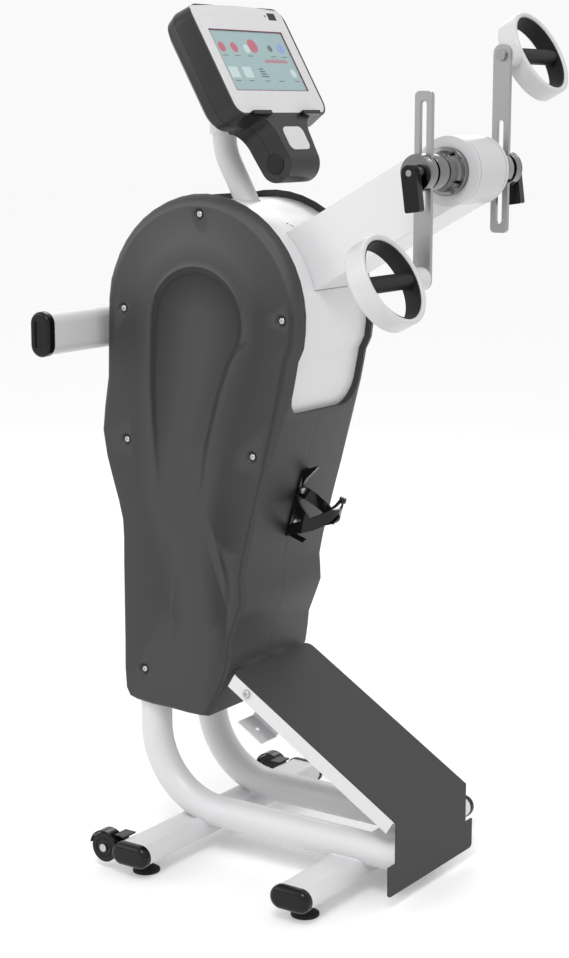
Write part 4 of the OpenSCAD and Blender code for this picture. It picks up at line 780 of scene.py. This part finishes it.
def weld_loop(bar_x, side):
    """The closed line where a foot bar meets the frame tube on one side."""
    flat = BAR_HALF - BAR_RADIUS
    outer, inner = [], []
    for step in range(WELD_STEPS + 1):
        angle = math.pi * step / WELD_STEPS
        corner = bar_x + flat * math.copysign(1.0, math.cos(angle))
        x = corner + BAR_RADIUS * math.cos(angle)
        z = BAR_Z + BAR_RADIUS * math.sin(angle)
        half = tube_half_width(x, z)
        if half is None:
            continue
        outer.append((x, side * (TUBE_Y + half), z))
        inner.append((x, side * (TUBE_Y - half), z))
    return outer + inner[::-1]


class ERGO_OT_frame(bpy.types.Operator):
    """Bent tubes, foot bars, plates, caps and bolts"""

    bl_idname = "ergo.frame"
    bl_label = "Frame"

    def execute(self, context):
        for node in ("left_frame_tube", "right_frame_tube", "foot_bars", "side_plates"):
            dress(node, finish("light_paint"))
        bead(
            "foot_welds",
            [weld_loop(bar_x, side) for bar_x in FOOT_BARS_X for side in (-1, 1)],
            context.scene.ergo_sizes.weld,
            finish("light_paint"),
            "foot_bars",
        )
        dress("foot_caps", finish("black"))
        dress("wheel_housings", finish("black"), FITTING_EDGE)
        dress("frame_bolts", finish("bolt"), SCREW_EDGE)
        return {"FINISHED"}


class ERGO_OT_feet(bpy.types.Operator):
    """Levelling feet and transport wheels"""

    bl_idname = "ergo.feet"
    bl_label = "Feet and wheels"

    def execute(self, context):
        for end in ("rear", "front"):
            for side in ("left", "right"):
                dress(f"foot_{end}_{side}", finish("rubber"), SCREW_EDGE)
        for node in ("left_wheel", "right_wheel"):
            dress(node, finish("black"), MOULDED_EDGE)
        return {"FINISHED"}


# An edge runs along the beam when this share of it does
ALONG = 0.98
CORNER_SEGMENTS = 4


def round_beam(obj, width):
    """Rounds the beam's four long outer edges."""
    to_beam = beam_place().inverted()
    bm = bmesh.new()
    bm.from_mesh(obj.data)
    picked = []
    for edge in bm.edges:
        first, last = (to_beam @ vert.co for vert in edge.verts)
        along = last - first
        middle = (first + last) / 2
        if (
            abs(along.x) > ALONG * along.length
            and abs(middle.y) > BEAM_HALF_W
            and abs(middle.z) > BEAM_HALF_H
        ):
            picked.append(edge)
    bmesh.ops.bevel(
        bm,
        geom=picked,
        offset=width,
        offset_type="OFFSET",
        segments=CORNER_SEGMENTS,
        profile=0.5,
        affect="EDGES",
        material=-1,
    )
    mark_sharp(bm)
    bm.to_mesh(obj.data)
    bm.free()


class ERGO_OT_beam(bpy.types.Operator):
    """Beam, head tube, mast and the console's bracket"""

    bl_idname = "ergo.beam"
    bl_label = "Beam and head"

    def execute(self, context):
        sizes = context.scene.ergo_sizes
        beam = dress("beam", finish("light_paint"))
        round_beam(beam, sizes.beam_corner)
        dress("head_tube", finish("head"), sizes.edge)
        dress("mast", finish("light_paint"))
        dress("console_bracket", finish("light_paint"), sizes.edge)
        return {"FINISHED"}


class ERGO_OT_crank(bpy.types.Operator):
    """Bearing housings, hubs, clamps, slotted bars, spindles and levers"""

    bl_idname = "ergo.crank"
    bl_label = "Crank"

    def execute(self, context):
        for node in ("bearing_housings", "crank_hubs", "clamp_discs"):
            dress(node, finish("hub_steel"), TURNED_EDGE)
        for node in ("clamp_nuts", "crank_axle"):
            dress(node, finish("bright"), TURNED_EDGE)
        dress("housing_screws", finish("black"))
        for node in ("left_crank_bar", "right_crank_bar"):
            dress(node, finish("bar_steel"), MOULDED_EDGE)
        for node in ("left_spindle", "right_spindle"):
            dress(node, finish("bright"), TURNED_EDGE)
        for node in ("left_lever", "right_lever"):
            dress(node, finish("black"), LEVER_EDGE, segments=CORNER_SEGMENTS)
        return {"FINISHED"}


class ERGO_OT_rings(bpy.types.Operator):
    """Grip rings and their cross grips"""

    bl_idname = "ergo.rings"
    bl_label = "Grip rings"

    def execute(self, context):
        for node in ("left_ring", "right_ring"):
            dress(node, finish("ring"))
        for node in ("left_grip", "right_grip"):
            dress(node, finish("grip"))
        return {"FINISHED"}


# The display shows plain bars, tiles and dots, in mm: right and up from its middle,
# and before the console's face
DISC_SIDES = 40
DISPLAY_HALF_W, DISPLAY_HALF_H = 113.2, 62.0
OUTLINE_HALF_W, OUTLINE_HALF_H = 113.5, 62.2
OUTLINE_IN_W, OUTLINE_IN_H = 112.3, 61.0
GLASS_BACK, OUTLINE_BACK = -2.6, -2.4
GLASS_FRONT, OUTLINE_FRONT = -2.15, -0.2
PRINT_FRONT = GLASS_FRONT + 0.15
ROW_HIGH, ROW_LOW = 27.0, -24.0
DOT_PLACES = (-94.0, -57.0, -18.0, 54.0, 88.0)
TILE_PLACES = (-91.0, -50.0, -1.0, 43.0, 93.0)
CAPTION_BELOW = 17.0
CAPTION_HALF_W, CAPTION_HALF_H = 8.0, 0.8
TILE_HALF_W, TILE_HALF_H = 13.0, 11.0
BARS, BARS_FROM, BARS_PITCH, BAR_WIDTH = 18, 20.0, 4.0, 2.4
BARS_FOOT, BARS_TOP, BARS_SWING, BARS_WAVE = -3.0, 2.0, 3.5, 1.3
METER_BARS, METER_PITCH, METER_THICK = 4, 5.0, 2.5
METER_LEFT, METER_RIGHT, METER_STEP, METER_BELOW = -12.0, 10.0, 3.0, 9.0
SENSOR_PLACE, SENSOR_RADIUS = (84.0, 95.0), 2.4
SENSOR_BACK, SENSOR_FRONT = -0.1, 0.2


def box_at(right, up, half_w, half_h):
    """The area (left, bottom, right, top) round a middle."""
    return (right - half_w, up - half_h, right + half_w, up + half_h)


def captions(places, row):
    """A short line under each picture of a row."""
    low = row - CAPTION_BELOW
    return [box_at(right, low, CAPTION_HALF_W, CAPTION_HALF_H) for right in places]


def tiles():
    """The two pale tiles at the left of the lower row."""
    return [box_at(right, ROW_LOW, TILE_HALF_W, TILE_HALF_H) for right in TILE_PLACES[:2]]


def bars():
    """A row of thin bars of changing height."""
    areas = []
    for i in range(BARS):
        left = BARS_FROM + BARS_PITCH * i
        top = BARS_TOP + BARS_SWING * math.sin(BARS_WAVE * i) ** 2
        areas.append((left, BARS_FOOT, left + BAR_WIDTH, top))
    return areas


def meter():
    """Bars above each other, the upper ones shorter."""
    areas = []
    for i in range(METER_BARS):
        low = ROW_LOW - METER_BELOW + METER_PITCH * i
        areas.append((METER_LEFT, low, METER_RIGHT - METER_STEP * i, low + METER_THICK))
    return areas


# Name, areas, back, front and finish
SCREEN_PLATES = (
    (
        "display_face",
        [box_at(0.0, 0.0, DISPLAY_HALF_W, DISPLAY_HALF_H)],
        GLASS_BACK,
        GLASS_FRONT,
        "display",
    ),
    (
        "display_outline",
        [
            (-OUTLINE_HALF_W, OUTLINE_IN_H, OUTLINE_HALF_W, OUTLINE_HALF_H),
            (-OUTLINE_HALF_W, -OUTLINE_HALF_H, OUTLINE_HALF_W, -OUTLINE_IN_H),
            (-OUTLINE_HALF_W, -OUTLINE_IN_H, -OUTLINE_IN_W, OUTLINE_IN_H),
            (OUTLINE_IN_W, -OUTLINE_IN_H, OUTLINE_HALF_W, OUTLINE_IN_H),
        ],
        OUTLINE_BACK,
        OUTLINE_FRONT,
        "outline",
    ),
    (
        "display_captions",
        captions(DOT_PLACES, ROW_HIGH) + captions(TILE_PLACES, ROW_LOW),
        GLASS_FRONT,
        PRINT_FRONT,
        "display_dark",
    ),
    ("display_tiles", tiles(), GLASS_FRONT, PRINT_FRONT, "display_pale"),
    ("display_bars", bars(), GLASS_FRONT, PRINT_FRONT, "display_rose"),
    ("display_meter", meter(), GLASS_FRONT, PRINT_FRONT, "display_dark"),
)
# Name, centres, radius and finish
SCREEN_DISCS = (
    ("display_dots_rose", [(-94.0, ROW_HIGH), (-57.0, ROW_HIGH)], 10.0, "display_rose"),
    ("display_dial", [(2.0, ROW_HIGH + 4.0)], 14.0, "display_rose"),
    ("display_dot_pale", [(-20.0, ROW_HIGH - 2.0), (93.0, ROW_LOW)], 9.0, "display_pale"),
    ("display_dot_dark", [(54.0, ROW_HIGH)], 7.0, "display_dark"),
    ("display_dot_blue", [(88.0, ROW_HIGH)], 10.0, "display_blue"),
)


class ERGO_OT_console(bpy.types.Operator):
    """Console housing, fascia, display and badge plate"""

    bl_idname = "ergo.console"
    bl_label = "Console"

    def execute(self, context):
        dress("console_back", finish("console"), MOULDED_EDGE)
        dress("console_front", finish("console"), MOULDED_EDGE)
        dress("console_fascia", finish("fascia"), FITTING_EDGE)
        dress("console_trim", finish("black"), MOULDED_EDGE)
        dress("badge_plate", finish("fascia"), SCREW_EDGE)
        dress("hinge_pin", finish("black"), FITTING_EDGE)
        dress("screen", finish("black"), SCREW_EDGE)
        place = console_place()
        for name, areas, back, front, look in SCREEN_PLATES:
            add_piece(name, move(plates(areas, back, front), place), finish(look), "screen")
        for name, centres, radius, look in SCREEN_DISCS:
            bm = move(discs(centres, radius, GLASS_FRONT, PRINT_FRONT), place)
            add_piece(name, bm, finish(look), "screen")
        mark = discs([SENSOR_PLACE], SENSOR_RADIUS, SENSOR_BACK, SENSOR_FRONT)
        add_piece("sensor_mark", move(mark, place), finish("display_dark"), "screen")
        return {"FINISHED"}


class ERGO_OT_ramp(bpy.types.Operator):
    """Step ramp and its support"""

    bl_idname = "ergo.ramp"
    bl_label = "Ramp"

    def execute(self, context):
        sizes = context.scene.ergo_sizes
        dress("ramp_plate", finish("ramp"), sizes.edge)
        dress("ramp_support", finish("light_paint"), sizes.edge)
        return {"FINISHED"}


class ERGO_OT_fittings(bpy.types.Operator):
    """Bottle cage, rear handle and mains inlet"""

    bl_idname = "ergo.fittings"
    bl_label = "Fittings"

    def execute(self, context):
        dress("bottle_cage", finish("black"), CAGE_EDGE)
        dress("handle_bar", finish("light_paint"))
        dress("handle_caps", finish("black"), CAP_EDGE)
        dress("mains_inlet", finish("black"), FITTING_EDGE)
        return {"FINISHED"}


# The pieces that no side shows keep their CAD meshes, with these finishes
INNER_FINISHES = {
    "bearings": "bolt",
    "crank_pulley": "pulley",
    "jack_pulleys": "pulley",
    "jackshaft": "bright",
    "flywheel_shaft": "bright",
    "flywheel": "iron",
    "brake_magnet": "iron",
    "crank_belt": "rubber",
    "drive_belt": "rubber",
    "control_board": "board",
}


class ERGO_OT_inner(bpy.types.Operator):
    """Belts, shafts, flywheel, brake and board inside the covers"""

    bl_idname = "ergo.inner"
    bl_label = "Inner drive"

    def execute(self, context):
        for node, name in INNER_FINISHES.items():
            paint(node, finish(name))
        return {"FINISHED"}


FLOOR_HALF = 30.0
FLOOR_GREY = 0.86
FLOOR_ROUGHNESS = 0.9
FLOOR_GLOW = 0.12
STUDIO_WHITE = (1.0, 1.0, 1.0, 1.0)
STUDIO_LIGHT = 0.95
# Name, place, target, side in metres and watts
LAMPS = (
    ("key", (1.2, -2.6, 4.2), (0.1, 0.0, 0.8), 1.6, 75.0),
    ("side", (-2.8, -2.6, 2.2), (0.0, 0.0, 0.9), 2.0, 18.0),
    ("rim", (-1.5, 3.0, 3.0), (0.0, 0.0, 1.0), 2.0, 30.0),
)
# The photograph's viewpoint, measured from the rear foot bar
CAMERA_PLACE = (2.1561 + ORIGIN_X, -2.9189, 1.3992)
CAMERA_AZIMUTH = math.radians(34.556)
CAMERA_ELEVATION = math.radians(10.793)
CAMERA_LENS = 72.75
CAMERA_SENSOR = 36.0
CAMERA_REACH = 100.0


def aim(obj, place, ahead):
    """Stands a lamp or a camera at a place and turns it to look straight ahead."""
    obj.location = place
    obj.rotation_mode = "QUATERNION"
    obj.rotation_quaternion = ahead.to_track_quat("-Z", "Y")
    bpy.context.scene.collection.objects.link(obj)


def add_lamp(name, place, target, side, power):
    """A square soft light that shines at a target."""
    data = bpy.data.lights.new(name, "AREA")
    data.shape = "RECTANGLE"
    data.size = data.size_y = side
    data.energy = power
    aim(bpy.data.objects.new(name, data), place, Vector(target) - Vector(place))


def add_camera(name):
    """The camera at the photograph's viewpoint."""
    data = bpy.data.cameras.new(name)
    data.sensor_fit = "AUTO"
    data.sensor_width = CAMERA_SENSOR
    data.lens = CAMERA_LENS
    data.clip_end = CAMERA_REACH
    ahead = -Vector((
        math.sin(CAMERA_AZIMUTH) * math.cos(CAMERA_ELEVATION),
        -math.cos(CAMERA_AZIMUTH) * math.cos(CAMERA_ELEVATION),
        math.sin(CAMERA_ELEVATION),
    ))
    camera = bpy.data.objects.new(name, data)
    aim(camera, CAMERA_PLACE, ahead)
    return camera


class ERGO_OT_stage(bpy.types.Operator):
    """Floor, lights and the camera"""

    bl_idname = "ergo.stage"
    bl_label = "Stage"

    def execute(self, context):
        scene = context.scene
        pale = Finish("Pale floor", (FLOOR_GREY,) * 3, FLOOR_ROUGHNESS)
        pale.put("Emission Color", STUDIO_WHITE)
        pale.put("Emission Strength", FLOOR_GLOW)
        bm = bmesh.new()
        bmesh.ops.create_grid(bm, x_segments=1, y_segments=1, size=FLOOR_HALF)
        new_object("floor", bm, pale)

        world = bpy.data.worlds.new("Studio")
        world.use_nodes = True
        background = world.node_tree.nodes["Background"]
        background.inputs["Color"].default_value = STUDIO_WHITE
        background.inputs["Strength"].default_value = STUDIO_LIGHT
        scene.world = world

        for lamp in LAMPS:
            add_lamp(*lamp)
        scene.camera = add_camera("photo_view")
        scene.view_settings.view_transform = "Standard"
        return {"FINISHED"}


OPERATORS = (
    ERGO_OT_covers,
    ERGO_OT_frame,
    ERGO_OT_feet,
    ERGO_OT_beam,
    ERGO_OT_crank,
    ERGO_OT_rings,
    ERGO_OT_console,
    ERGO_OT_ramp,
    ERGO_OT_fittings,
    ERGO_OT_inner,
    ERGO_OT_stage,
)


class ERGO_PT_panel(bpy.types.Panel):
    """Lists the pieces and the main settings"""

    bl_label = "Arm Ergometer"
    bl_idname = "ERGO_PT_panel"
    bl_space_type = "VIEW_3D"
    bl_region_type = "UI"
    bl_category = "Ergometer"

    def draw(self, context):
        """Shows every setting, then a button for each operator."""
        layout = self.layout
        for group in (context.scene.ergo_sizes, context.scene.ergo_finishes):
            for name in group.bl_rna.properties.keys():
                if name not in ("rna_type", "name"):
                    layout.prop(group, name)
        for operator in OPERATORS:
            layout.operator(operator.bl_idname)


CLASSES = (ERGO_PG_sizes, ERGO_PG_finishes, *OPERATORS, ERGO_PT_panel)


def register():
    """Registers the classes and the scene's settings."""
    for cls in CLASSES:
        bpy.utils.register_class(cls)
    bpy.types.Scene.ergo_sizes = bpy.props.PointerProperty(type=ERGO_PG_sizes)
    bpy.types.Scene.ergo_finishes = bpy.props.PointerProperty(type=ERGO_PG_finishes)


def unregister():
    """Takes the settings and the classes out again."""
    del bpy.types.Scene.ergo_finishes
    del bpy.types.Scene.ergo_sizes
    for cls in reversed(CLASSES):
        bpy.utils.unregister_class(cls)


def main():
    register()
    for operator in OPERATORS:
        group, name = operator.bl_idname.split(".")
        getattr(getattr(bpy.ops, group), name)()


if __name__ == "__main__":
    main()
